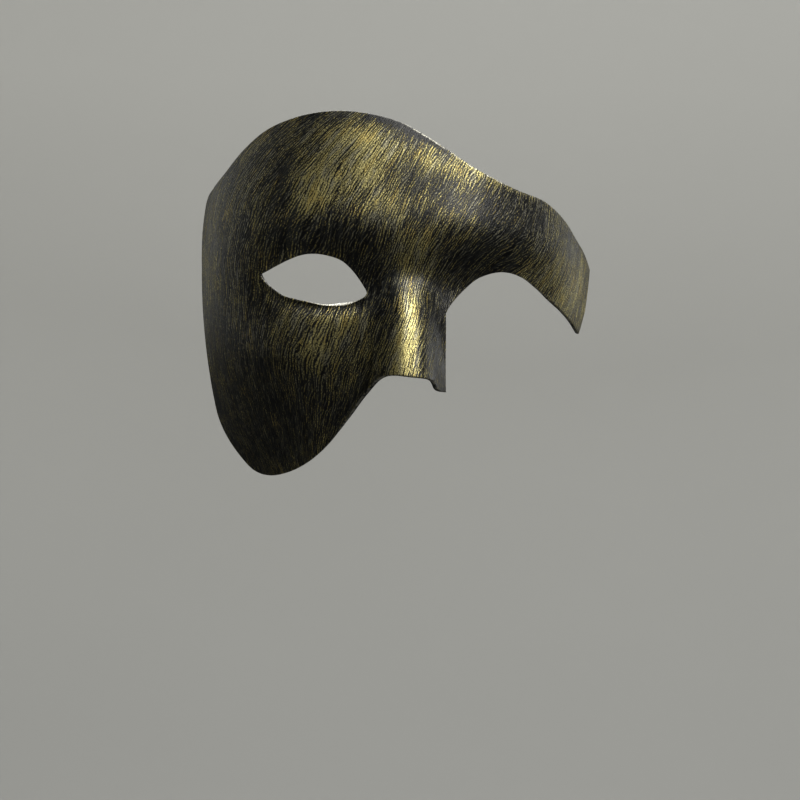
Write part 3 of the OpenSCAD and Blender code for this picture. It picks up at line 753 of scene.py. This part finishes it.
    # Painted highlight: the ledge of the lower lid is painted near white.
    wear_and_highlight = m.math("MAXIMUM", wear_and_highlight, m.math("MULTIPLY", ledge_highlight, 0.95))
    col = m.mix(wear_and_highlight, col, (0.80, 0.77, 0.64))
    m.set("Base Color", col)
    metal = m.math("ADD", m.math("MULTIPLY", cover, 0.75), m.math("MULTIPLY", dry, 0.2))
    m.set("Metallic", m.math("ADD", metal, m.math("MULTIPLY", wear_and_highlight, 0.6), clamp=True))
    rough = m.math("ADD", 0.42, m.math("MULTIPLY", m.math("SUBTRACT", s3, 0.5), 0.3))
    rough = m.math("ADD", rough, m.math("MULTIPLY", hair, 0.06))
    rough = m.math("ADD", rough, m.math("MULTIPLY", raw, 0.08), clamp=True)
    m.set("Roughness", rough)
    h = m.math("ADD", m.math("MULTIPLY", hair, 0.35), m.math("MULTIPLY", speck, 0.5))
    h = m.math("ADD", h, m.math("MULTIPLY", cover, 0.10))
    h = m.math("MULTIPLY", h, m.math("SUBTRACT", 1.0, m.math("MULTIPLY", raw, 0.85)))
    m.set("Normal", m.bump(h, 0.00022, 1.0))
    m.set("Specular IOR Level", 0.38)
    m.set("Coat Weight", 0.08)
    m.set("Coat Roughness", 0.22)
    return m.mat


# ---------------------------------------------------------------- build
shell = make_shell()
shell.data.materials.append(shell_material())
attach(shell, "mask")
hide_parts("mask_shell")



# ---------------------------------------------------------------- foam pads
def foam_material():
    m = Nodes("velour_faced_foam")
    p = m.coord("Object")
    cells = m.voronoi(p, 2300.0)
    fine = m.noise(p, 5200.0, 2.0, 0.6)
    pile = m.noise(p, 900.0, 3.0, 0.65)
    wear = m.noise(p, 90.0, 4.0, 0.6)
    f = m.math("ADD", m.math("MULTIPLY", fine, 0.6), m.math("MULTIPLY", pile, 0.5))
    col = m.mix(m.ramp(f, 0.35, 0.75), (0.009, 0.009, 0.010), (0.040, 0.040, 0.043))
    col = m.mix(m.math("MULTIPLY", m.ramp(wear, 0.5, 0.72), 0.35), col, (0.060, 0.058, 0.056))
    m.set("Base Color", col)
    m.set("Roughness", m.math("ADD", 0.78, m.math("MULTIPLY", pile, 0.2), clamp=True))
    m.set("Sheen Weight", 0.25)
    m.set("Sheen Roughness", 0.5)
    m.set("Specular IOR Level", 0.25)
    h = m.math("ADD", m.math("MULTIPLY", cells, 0.7), m.math("MULTIPLY", fine, 0.6))
    h = m.math("ADD", h, m.math("MULTIPLY", pile, 0.9))
    m.set("Normal", m.bump(h, 0.00022, 0.9))
    return m.mat


def pillow(hu, hv, t, n):
    """Closed form with a flat base, in flat mm: walls that lean out a little, a rounded shoulder and a crowned top."""
    nu, nv = n
    uu, vv = np.linspace(-1, 1, nu + 1), np.linspace(-1, 1, nv + 1)
    U, V = np.meshgrid(uu, vv, indexing="ij")
    # square to rounded rectangle
    X, Y = U * np.sqrt(1 - 0.16 * V**4), V * np.sqrt(1 - 0.16 * U**4)
    rim = np.maximum(abs(U), abs(V))
    top = t * (0.80 + 0.20 * (1 - U**4) * (1 - V**4))
    base = np.stack([X * hu * 0.95, Y * hv * 0.95, 0 * X], -1)
    lid = np.stack([X * hu * 0.90, Y * hv * 0.90, top - t * 0.22 * rim**8], -1)
    v = [base.reshape(-1, 3), lid.reshape(-1, 3)]
    N = (nu + 1) * (nv + 1)
    ix = np.arange(N).reshape(nu + 1, nv + 1)
    loop = list(ix[:, 0]) + list(ix[-1, 1:]) + list(ix[:-1, -1][::-1]) + list(ix[0, 1:-1][::-1])
    f = [(a, d, c, b) for a, b, c, d in zip(ix[:-1, :-1].ravel(), ix[1:, :-1].ravel(), ix[1:, 1:].ravel(), ix[:-1, 1:].ravel())]
    f += [tuple(N + i for i in q[::-1]) for q in f]
    levels = (0.2, 0.45, 0.7, 0.9)
    prev = loop
    count = 2 * N
    for s in levels:
        a, b = v[0][loop], v[1][loop]
        r = a * (1 - s) + b * s
        out = 1 + 0.055 * math.sin(math.pi * min(1.0, s * 1.15))
        r[:, :2] *= out
        v.append(r)
        cur = list(range(count, count + len(loop)))
        count += len(loop)
        f += [(prev[i], prev[(i + 1) % len(loop)], cur[(i + 1) % len(loop)], cur[i]) for i in range(len(loop))]
        prev = cur
    last = [N + i for i in loop]
    f += [(prev[i], prev[(i + 1) % len(loop)], last[(i + 1) % len(loop)], last[i]) for i in range(len(loop))]
    return np.concatenate(v), f


def swell(ob, cap, frames=14):
    """Cloth with air pressure on a copy ten times the size, its base held; returns how far each point went, capped."""
    g = ob.vertex_groups.new(name="base")
    co = np.array([v.co for v in ob.data.vertices])
    g.add([int(i) for i in np.nonzero(co[:, 2] < 0.004)[0]], 1.0, "REPLACE")
    m = ob.modifiers.new("cloth", "CLOTH")
    c = m.settings
    c.quality = 6
    c.mass = 0.3
    c.tension_stiffness = c.compression_stiffness = c.shear_stiffness = 22
    c.bending_stiffness = 1.5
    c.use_pressure = True
    c.uniform_pressure_force = 4
    c.effector_weights.gravity = 0
    c.vertex_group_mass = "base"
    m.collision_settings.use_collision = False
    m.point_cache.frame_start, m.point_cache.frame_end = 1, frames + 1
    sc = bpy.context.scene
    for f in range(1, frames + 1):
        sc.frame_set(f)
    dg = bpy.context.evaluated_depsgraph_get()
    ev = ob.evaluated_get(dg)
    new = np.array([v.co for v in ev.data.vertices])
    sc.frame_set(1)
    ob.modifiers.remove(m)
    d = new - co
    r = np.linalg.norm(d, axis=1, keepdims=True)
    return co + d * np.minimum(1, cap / (r + 1e-9))


def make_pad(name, node, a0, a1, z0, z1, t, mat):
    zc, ac = (z0 + z1) / 2, (a0 + a1) / 2
    per_deg = float(r0(math.radians(ac), zc)) * math.pi / 180
    hu, hv = (a1 - a0) / 2 * per_deg, (z1 - z0) / 2
    n = (max(6, round(hu * 0.9)), max(6, round(hv * 0.9)))
    v, f = pillow(hu, hv, t * 0.9, n)
    ob = make_mesh(name, v * 0.01, f)  # ten times life size while it swells
    bm = bmesh.new()
    bm.from_mesh(ob.data)
    bmesh.ops.recalc_face_normals(bm, faces=bm.faces)
    bm.to_mesh(ob.data)
    bm.free()
    r = ob.modifiers.new("remesh", "REMESH")
    r.mode, r.voxel_size = "VOXEL", 0.0062 if hu > 9 else 0.0048
    dg = bpy.context.evaluated_depsgraph_get()
    me = bpy.data.meshes.new_from_object(ob.evaluated_get(dg))
    ob.modifiers.clear()
    ob.data = me
    w = swell(ob, 0.006)
    w = w * 100.0
    w[:, 2] = np.clip(w[:, 2], 0, t * 1.04)
    th = ac + w[:, 0] / per_deg
    p = behind(th, zc + w[:, 1], SHELL_T + 0.2 + w[:, 2]) * MM
    ob.data.vertices.foreach_set("co", p.astype(np.float32).ravel())
    ob.data.update()
    ob.data.polygons.foreach_set("use_smooth", [True] * len(ob.data.polygons))
    bm = bmesh.new()
    bm.from_mesh(ob.data)
    bmesh.ops.recalc_face_normals(bm, faces=bm.faces)
    bm.to_mesh(ob.data)
    bm.free()
    sub = ob.modifiers.new("smooth", "SUBSURF")
    sub.levels = sub.render_levels = 1
    ob.data.materials.clear()
    ob.data.materials.append(mat)
    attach(ob, "mask")
    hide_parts(node)
    return ob


foam = foam_material()
make_pad("forehead_cushion", "forehead_pad", -17, 13, 33, 47, 5.0, foam)
make_pad("nose_cushion_left", "nose_pad_left", -8.4, -4.6, -25, -9, 3.0, foam)
make_pad("nose_cushion_right", "nose_pad_right", 4.4, 8.1, -25, -11, 3.0, foam)
make_pad("cheek_cushion", "cheek_pad", -43, -28, -62, -46, 4.5, foam)


# ---------------------------------------------------------------- the strap
RISE, RUN_A = math.radians(13), math.radians(7)
BAR_P, BAR_Q, RUN_END, BAND_W, BAND_T = 70.3, 18.0, 66.0, 10.0, 1.2
LAY_R, LAY_L, WRAP_R = 1.4, 0.7, 2.1


def strap_point(p, q, w):
    c, s = math.cos(RISE), math.sin(RISE)
    return np.stack([p, 45 + q * c - w * s, 4 + q * s + w * c], -1)


def lay(q, off):
    return (BAR_P + (q - BAR_Q) * math.tan(RUN_A) + off * math.cos(RUN_A), q - off * math.sin(RUN_A))


def half_wrap(n):
    return [(BAR_P + WRAP_R * math.cos(a), BAR_Q - WRAP_R * math.sin(a)) for a in (RUN_A + math.pi * i / n for i in range(n + 1))]


def sweep(a, n):
    a, b, d = np.array(a), np.array((79.0, 90.0)), np.array((math.sin(RUN_A), math.cos(RUN_A)))
    k = (90.0 - a[1]) * 0.4
    return [tuple((1 - t) ** 3 * a + 3 * (1 - t) ** 2 * t * (a + k * d) + 3 * (1 - t) * t * t * (b - [0, k]) + t**3 * b) for t in (i / n for i in range(1, n + 1))]


def back_arc(n):
    return [(-79 * math.cos(a), 90 + 58 * math.sin(a) ** 0.92) for a in (math.pi * i / n for i in range(1, n))]


def fold(q, off, r, n):
    """Half turn of the tail towards the inner side."""
    m = lay(q, off - r)
    return [(m[0] + r * math.cos(a) * math.cos(RUN_A) + r * math.sin(a) * math.sin(RUN_A),
             m[1] - r * math.cos(a) * math.sin(RUN_A) + r * math.sin(a) * math.cos(RUN_A)) for a in (math.pi * i / n for i in range(n + 1))]


def mirrored(l):
    return [(-x, y) for x, y in reversed(l)]


right_line = sweep(lay(RUN_END, LAY_R), 12)[::-1] + [lay(RUN_END, LAY_R), lay(BAR_Q + 12, LAY_R)] + half_wrap(16)
right_line += [lay(BAR_Q + 12, -LAY_R), lay(RUN_END - 1.25, -LAY_R)] + fold(RUN_END - 1.25, -LAY_R, 0.61, 8) + [lay(RUN_END - 6, -LAY_R - 1.22)]
left_line = sweep(lay(RUN_END, LAY_L), 12)[::-1] + [lay(RUN_END, LAY_L), lay(BAR_Q + 11, LAY_L)] + half_wrap(16)
left_line += [lay(BAR_Q + 11, -LAY_L), lay(BAR_Q + 21, -LAY_L)]
CENTRE = np.array(mirrored(left_line) + back_arc(60) + right_line)


def resample(line, step):
    out = [line[0]]
    for a, b in zip(line[:-1], line[1:]):
        n = max(1, int(np.linalg.norm(b - a) / step))
        out += [a + (b - a) * i / n for i in range(1, n + 1)]
    return np.array(out)


def smooth_line(line, rounds=2):
    for _ in range(rounds):
        line = np.concatenate([line[:1], (line[:-2] + 2 * line[1:-1] + line[2:]) / 4, line[-1:]])
    return line


def make_elastic():
    c = smooth_line(resample(CENTRE, 1.2), 1)
    d = np.gradient(c, axis=0)
    d /= np.linalg.norm(d, axis=1, keepdims=True)
    nrm = np.stack([-d[:, 1], d[:, 0]], -1)
    run = np.r_[0, np.cumsum(np.linalg.norm(np.diff(c, axis=0), axis=1))]
    k = 73
    w = np.linspace(-1, 1, k)
    half = BAND_T / 2
    prof_w = BAND_W / 2 * np.sin(w * math.pi / 2 * 0.96) / math.sin(math.pi / 2 * 0.96) * 0.35 + BAND_W / 2 * w * 0.65
    rib = 0.07 * (0.5 + 0.5 * np.cos(2 * math.pi * prof_w / 1.1))
    edge_fall = (1 - np.clip((abs(prof_w) - 4.35) / 0.65, 0, 1) ** 2.2 * 0.62)
    h = (half - 0.07 + rib) * edge_fall
    ring_w = np.r_[prof_w, prof_w[::-1]]
    ring_h = np.r_[h, -h[::-1]]
    m = len(ring_w)
    v, att = [], []
    for i in range(len(c)):
        p = c[i][None] + nrm[i][None] * ring_h[:, None]
        v.append(strap_point(p[:, 0], p[:, 1], ring_w))
        att.append(np.stack([np.full(m, run[i]), ring_w, np.sign(ring_h)], -1))
    v, att = np.concatenate(v), np.concatenate(att)
    f = []
    for i in range(len(c) - 1):
        for j in range(m):
            a, b = i * m + j, i * m + (j + 1) % m
            f.append((a, b, b + m, a + m))
    f.append(tuple(range(m))[::-1])
    f.append(tuple(range((len(c) - 1) * m, len(c) * m)))
    ob = make_mesh("elastic_strap", v * MM, f)
    at = ob.data.attributes.new("band", "FLOAT_VECTOR", "POINT")
    at.data.foreach_set("vector", att.astype(np.float32).ravel())
    bm = bmesh.new()
    bm.from_mesh(ob.data)
    bmesh.ops.recalc_face_normals(bm, faces=bm.faces)
    bm.to_mesh(ob.data)
    bm.free()
    return ob


def elastic_material():
    m = Nodes("ribbed_elastic")
    s = m.split(m.attr("band", "Vector"))
    along, across = s[0], s[1]
    ribs = m.math("COSINE", m.math("MULTIPLY", across, 2 * math.pi / 1.1))
    zig = m.math("ABSOLUTE", m.math("SINE", m.math("MULTIPLY", across, math.pi / 1.1)))
    loops = m.math("SINE", m.math("MULTIPLY", m.math("ADD", along, m.math("MULTIPLY", zig, 0.45)), 2 * math.pi / 0.85))
    slub = m.noise(m.join(m.math("MULTIPLY", along, 0.35), m.math("MULTIPLY", across, 2.4), 1.0), 1.0, 3.0, 0.6)
    fuzz = m.noise(m.join(m.math("MULTIPLY", along, 5.0), m.math("MULTIPLY", across, 7.0), 4.0), 1.0, 2.0, 0.6)
    h = m.math("ADD", m.math("MULTIPLY", ribs, 0.35), m.math("MULTIPLY", loops, 0.35))
    h = m.math("ADD", h, m.math("MULTIPLY", m.math("SUBTRACT", fuzz, 0.5), 0.7))
    col = m.mix(m.ramp(h, -0.6, 0.7), (0.0045, 0.0045, 0.005), (0.030, 0.030, 0.032))
    col = m.mix(m.math("MULTIPLY", m.ramp(slub, 0.5, 0.75), 0.4), col, (0.045, 0.044, 0.044))
    m.set("Base Color", col)
    m.set("Roughness", m.math("ADD", 0.58, m.math("MULTIPLY", fuzz, 0.3), clamp=True))
    m.set("Sheen Weight", 0.15)
    m.set("Sheen Roughness", 0.45)
    m.set("Specular IOR Level", 0.35)
    m.set("Normal", m.bump(h, 0.00014, 1.0))
    return m.mat


elastic = make_elastic()
elastic.data.materials.append(elastic_material())
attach(elastic, "strap")
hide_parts("elastic_band")


# ---------------------------------------------------------------- thread
def thread_material():
    m = Nodes("twisted_thread")
    s = m.split(m.attr("ply", "Vector"))
    twist = m.math("SINE", m.math("ADD", m.math("MULTIPLY", s[0], 2 * math.pi / 0.42), s[1]))
    fine = m.noise(m.coord("Object"), 6000.0, 2.0, 0.6)
    h = m.math("ADD", m.math("MULTIPLY", twist, 0.4), m.math("MULTIPLY", fine, 0.5))
    m.set("Base Color", m.mix(m.ramp(h, -0.3, 0.8), (0.020, 0.020, 0.021), (0.075, 0.075, 0.078)))
    m.set("Roughness", m.math("ADD", 0.5, m.math("MULTIPLY", fine, 0.25)))
    m.set("Sheen Weight", 0.2)
    m.set("Normal", m.bump(h, 0.00006, 1.0))
    return m.mat


def run_point(x, y, w, side):
    """From the frame of a straight run (x outwards, y back from the bar, w across) to the row frame."""
    p = BAR_P + x * math.cos(RUN_A) + y * math.sin(RUN_A)
    q = BAR_Q - x * math.sin(RUN_A) + y * math.cos(RUN_A)
    out = strap_point(p, q, w)
    out[..., 0] *= side
    return out


def stitches(name, side, paths, r=0.16):
    """Each path is a list of (x, y, w) points in the frame of a run; a round thread follows it and dips at its ends."""
    v, f, att = [], [], []
    count = 0
    for path in paths:
        p = np.array(path, float)
        d = np.gradient(p, axis=0)
        d /= np.linalg.norm(d, axis=1, keepdims=True)
        a = np.cross(d, [1.0, 0.02, 0.01])
        a /= np.linalg.norm(a, axis=1, keepdims=True)
        b = np.cross(d, a)
        run = np.r_[0, np.cumsum(np.linalg.norm(np.diff(p, axis=0), axis=1))]
        k = 8
        for i in range(len(p)):
            ang = np.arange(k) / k * 2 * math.pi
            ring = p[i] + r * (np.cos(ang)[:, None] * a[i] + np.sin(ang)[:, None] * b[i])
            v.append(run_point(ring[:, 0], ring[:, 1], ring[:, 2], side))
            att.append(np.stack([np.full(k, run[i]), ang, 0 * ang], -1))
        for i in range(len(p) - 1):
            for j in range(k):
                q = count + i * k
                f.append((q + j, q + (j + 1) % k, q + k + (j + 1) % k, q + k + j))
        f.append(tuple(range(count, count + k))[::-1])
        f.append(tuple(range(count + (len(p) - 1) * k, count + len(p) * k)))
        count += len(p) * k
    ob = make_mesh(name, np.concatenate(v) * MM, f)
    at = ob.data.attributes.new("ply", "FLOAT_VECTOR", "POINT")
    at.data.foreach_set("vector", np.concatenate(att).astype(np.float32).ravel())
    bm = bmesh.new()
    bm.from_mesh(ob.data)
    bmesh.ops.recalc_face_normals(bm, faces=bm.faces)
    bm.to_mesh(ob.data)
    bm.free()
    ob.data.materials.append(thread)
    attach(ob, "strap")
    return ob


thread = thread_material()
rng = np.random.default_rng(7)
paths = []
for face_x, out in ((LAY_L + BAND_T / 2, 1), (-LAY_L - BAND_T / 2, -1)):
    for row in range(3):
        y = 13.5 + 1.3 * row
        ws = np.arange(-3.9, 3.91, 0.34)
        for i, w in enumerate(ws):
            lean = 0.17 if i % 2 else -0.17
            jx, jy = rng.uniform(-0.03, 0.03, 2)
            t = np.linspace(-1, 1, 7)
            paths.append([(face_x + out * (0.02 + 0.15 * (1 - abs(q) ** 2.5)) + jx * 0.3, y + jy + 0.48 * q, w + lean * q) for q in t])
bartack = stitches("bar_tack_thread", -1, paths, 0.15)
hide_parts("bar_tack_left")
paths = []
for face_x, out in ((-LAY_R - BAND_T * 1.5, -1), (-LAY_R + BAND_T / 2, 1)):
    y = RUN_END - BAR_Q - 6 + 1.6
    for i, w in enumerate(np.arange(-3.9, 3.0, 1.3)):
        t = np.linspace(0, 1, 9)
        dy = 0.28 if i % 2 else -0.28
        paths.append([(face_x + out * (0.02 + 0.16 * (1 - abs(2 * q - 1) ** 3)), y + dy * (2 * q - 1), w + 1.3 * q) for q in t])
hem = stitches("hem_thread", 1, paths, 0.17)
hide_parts("hem_stitches")


# ---------------------------------------------------------------- hardware
def plastic_material(name, lo, hi, rough):
    m = Nodes(name)
    p = m.coord("Object")
    spark = m.noise(p, 3800.0, 2.0, 0.6)
    flow = m.noise(m.join(*(m.math("MULTIPLY", c, k) for c, k in zip(m.split(p), (60.0, 420.0, 420.0)))), 1.0, 3.0, 0.55)
    scuff = m.voronoi(p, 700.0)
    m.set("Base Color", m.mix(m.math("ADD", m.math("MULTIPLY", spark, 0.6), m.math("MULTIPLY", flow, 0.4)), lo, hi))
    r = m.math("ADD", rough, m.math("MULTIPLY", m.math("SUBTRACT", spark, 0.5), 0.25))
    m.set("Roughness", m.math("ADD", r, m.math("MULTIPLY", m.ramp(flow, 0.45, 0.7), 0.12), clamp=True))
    h = m.math("ADD", m.math("MULTIPLY", spark, 0.7), m.math("MULTIPLY", scuff, 0.2))
    m.set("Normal", m.bump(h, 0.00005, 0.8))
    return m.mat


def steel_material():
    m = Nodes("plated_steel")
    p = m.coord("Object")
    s = m.split(p)
    turn = m.noise(m.join(m.math("MULTIPLY", s[0], 3.0e3), m.math("MULTIPLY", s[1], 9.0e2), m.math("MULTIPLY", s[2], 9.0e2)), 1.0, 3.0, 0.6)
    spots = m.noise(p, 520.0, 4.0, 0.62)
    stain = m.ramp(spots, 0.52, 0.74)
    m.set("Base Color", m.mix(m.math("MULTIPLY", stain, 0.7), m.mix(turn, (0.34, 0.335, 0.31), (0.58, 0.57, 0.54)), (0.16, 0.135, 0.095)))
    m.set("Metallic", 1.0)
    r = m.math("ADD", 0.24, m.math("MULTIPLY", turn, 0.16))
    m.set("Roughness", m.math("ADD", r, m.math("MULTIPLY", stain, 0.25), clamp=True))
    m.set("Normal", m.bump(m.math("ADD", m.math("MULTIPLY", turn, 0.5), m.math("MULTIPLY", stain, 0.4)), 0.00003, 1.0))
    return m.mat


def eased(node, name, body, mat, width):
    """The CAD node's own form with its edges eased, as a moulding or a pressing leaves them."""
    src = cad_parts[node]
    ob = bpy.data.objects.new(name, src.data.copy())
    bpy.context.scene.collection.objects.link(ob)
    me = ob.data
    bm = bmesh.new()
    bm.from_mesh(me)
    bmesh.ops.remove_doubles(bm, verts=bm.verts, dist=2e-6)
    bmesh.ops.dissolve_limit(bm, angle_limit=math.radians(0.6), verts=bm.verts, edges=bm.edges)
    bmesh.ops.recalc_face_normals(bm, faces=bm.faces)
    bm.to_mesh(me)
    bm.free()
    me.materials.clear()
    me.materials.append(mat)
    me.polygons.foreach_set("use_smooth", [True] * len(me.polygons))
    b = ob.modifiers.new("ease", "BEVEL")
    b.width, b.segments, b.limit_method, b.angle_limit = width * MM, 3, "ANGLE", math.radians(32)
    b.harden_normals = True
    b.use_clamp_overlap = True
    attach(ob, body)
    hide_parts(node)
    return ob


glossy = plastic_material("moulded_black", (0.006, 0.006, 0.0062), (0.016, 0.016, 0.0165), 0.36)
matt = plastic_material("moulded_matt_black", (0.009, 0.009, 0.0092), (0.022, 0.022, 0.0225), 0.50)
steel = steel_material()
for hand in ("left", "right"):
    eased("strap_boss_" + hand, "post_" + hand, "mask", glossy, 0.35)
    eased("retaining_cap_" + hand, "press_cap_" + hand, "mask", steel, 0.42)
    eased("strap_link_" + hand, "link_" + hand, "strap", matt, 0.30)
eased("strap_slider", "slide_adjuster", "slider", matt, 0.35)


# ---------------------------------------------------------------- floor, backdrop and lights
def graded_backdrop_material(name, color, rough=0.9, grain=0.02):
    m = Nodes(name)
    n = m.noise(m.coord("Object"), 3.0, 3.0, 0.5)
    lo, hi = tuple(c * (1 - grain) for c in color), tuple(c * (1 + grain) for c in color)
    # Painted shade and light: the colour is 0.62 times as bright at the floor, rising to 1.10 times up the wall.
    z = m.ramp(m.split(m.coord("Object"))[2], -0.55, 0.40, 0.0, 1.0, smooth=False)
    m.set("Base Color", m.mix(z, m.mix(n, tuple(c * 0.62 for c in lo), tuple(c * 0.62 for c in hi)), m.mix(n, tuple(c * 1.10 for c in lo), tuple(c * 1.10 for c in hi))))
    m.set("Roughness", rough)
    return m.mat


def make_backdrop():
    """A round studio: a level floor that turns up into one wall all the way round."""
    floor, reach, bend = -0.50, 2.1, 0.9
    prof = [(0.02, floor), (0.5, floor), (reach - bend, floor)]
    for i in range(1, 25):
        a = math.radians(90 * i / 24)
        prof.append((reach - bend + bend * math.sin(a), floor + bend - bend * math.cos(a)))
    prof.append((reach, 3.2))
    n = 96
    v = [(r * math.sin(2 * math.pi * j / n), r * math.cos(2 * math.pi * j / n), z) for r, z in prof for j in range(n)]
    f = [(i * n + j, i * n + (j + 1) % n, (i + 1) * n + (j + 1) % n, (i + 1) * n + j) for i in range(len(prof) - 1) for j in range(n)]
    f.append(tuple(range(n)))
    ob = make_mesh("backdrop", v, f)
    ob.data.materials.append(graded_backdrop_material("backdrop_paper", (0.50, 0.50, 0.475)))
    ob.visible_glossy = False


make_backdrop()


def area(name, loc, target, size, power, color=(1, 1, 1), size_y=None):
    li = bpy.data.lights.new(name, "AREA")
    li.shape = "RECTANGLE"
    li.size, li.size_y = size, size_y or size
    li.energy, li.color = power, color
    ob = bpy.data.objects.new(name, li)
    bpy.context.scene.collection.objects.link(ob)
    ob.location = loc
    ob.rotation_mode = "QUATERNION"
    ob.rotation_quaternion = (Vector(target) - Vector(loc)).to_track_quat("-Z", "Y")
    return ob


area("ceiling", (0.15, -0.60, 1.15), (0, 0.0, 0.0), 0.55, 11, (1.0, 0.99, 0.97))
area("key_right", (0.70, -0.90, 0.90), (0, 0.03, 0.02), 0.50, 7, (1.0, 0.98, 0.95))
area("side_left", (-1.20, 1.12, 0.52), (0, 0.05, 0.12), 0.5, 2.5, (0.98, 1.0, 0.97), 1.3)
area("side_right", (1.45, 0.85, 0.25), (0, 0.05, 0.0), 0.6, 2.5, (1.0, 1.0, 0.96))
area("behind", (0.15, 1.25, 0.95), (0, 0.05, 0.0), 0.7, 9)
area("wall_wash", (0.45, 0.35, 1.55), (0.2, 1.8, 0.60), 1.3, 18)

world = bpy.data.worlds.new("studio")
world.use_nodes = True
world.node_tree.nodes["Background"].inputs[0].default_value = (0.80, 0.82, 0.84, 1)
world.node_tree.nodes["Background"].inputs[1].default_value = 0.05
bpy.context.scene.world = world
bpy.context.scene.view_settings.view_transform = "Standard"
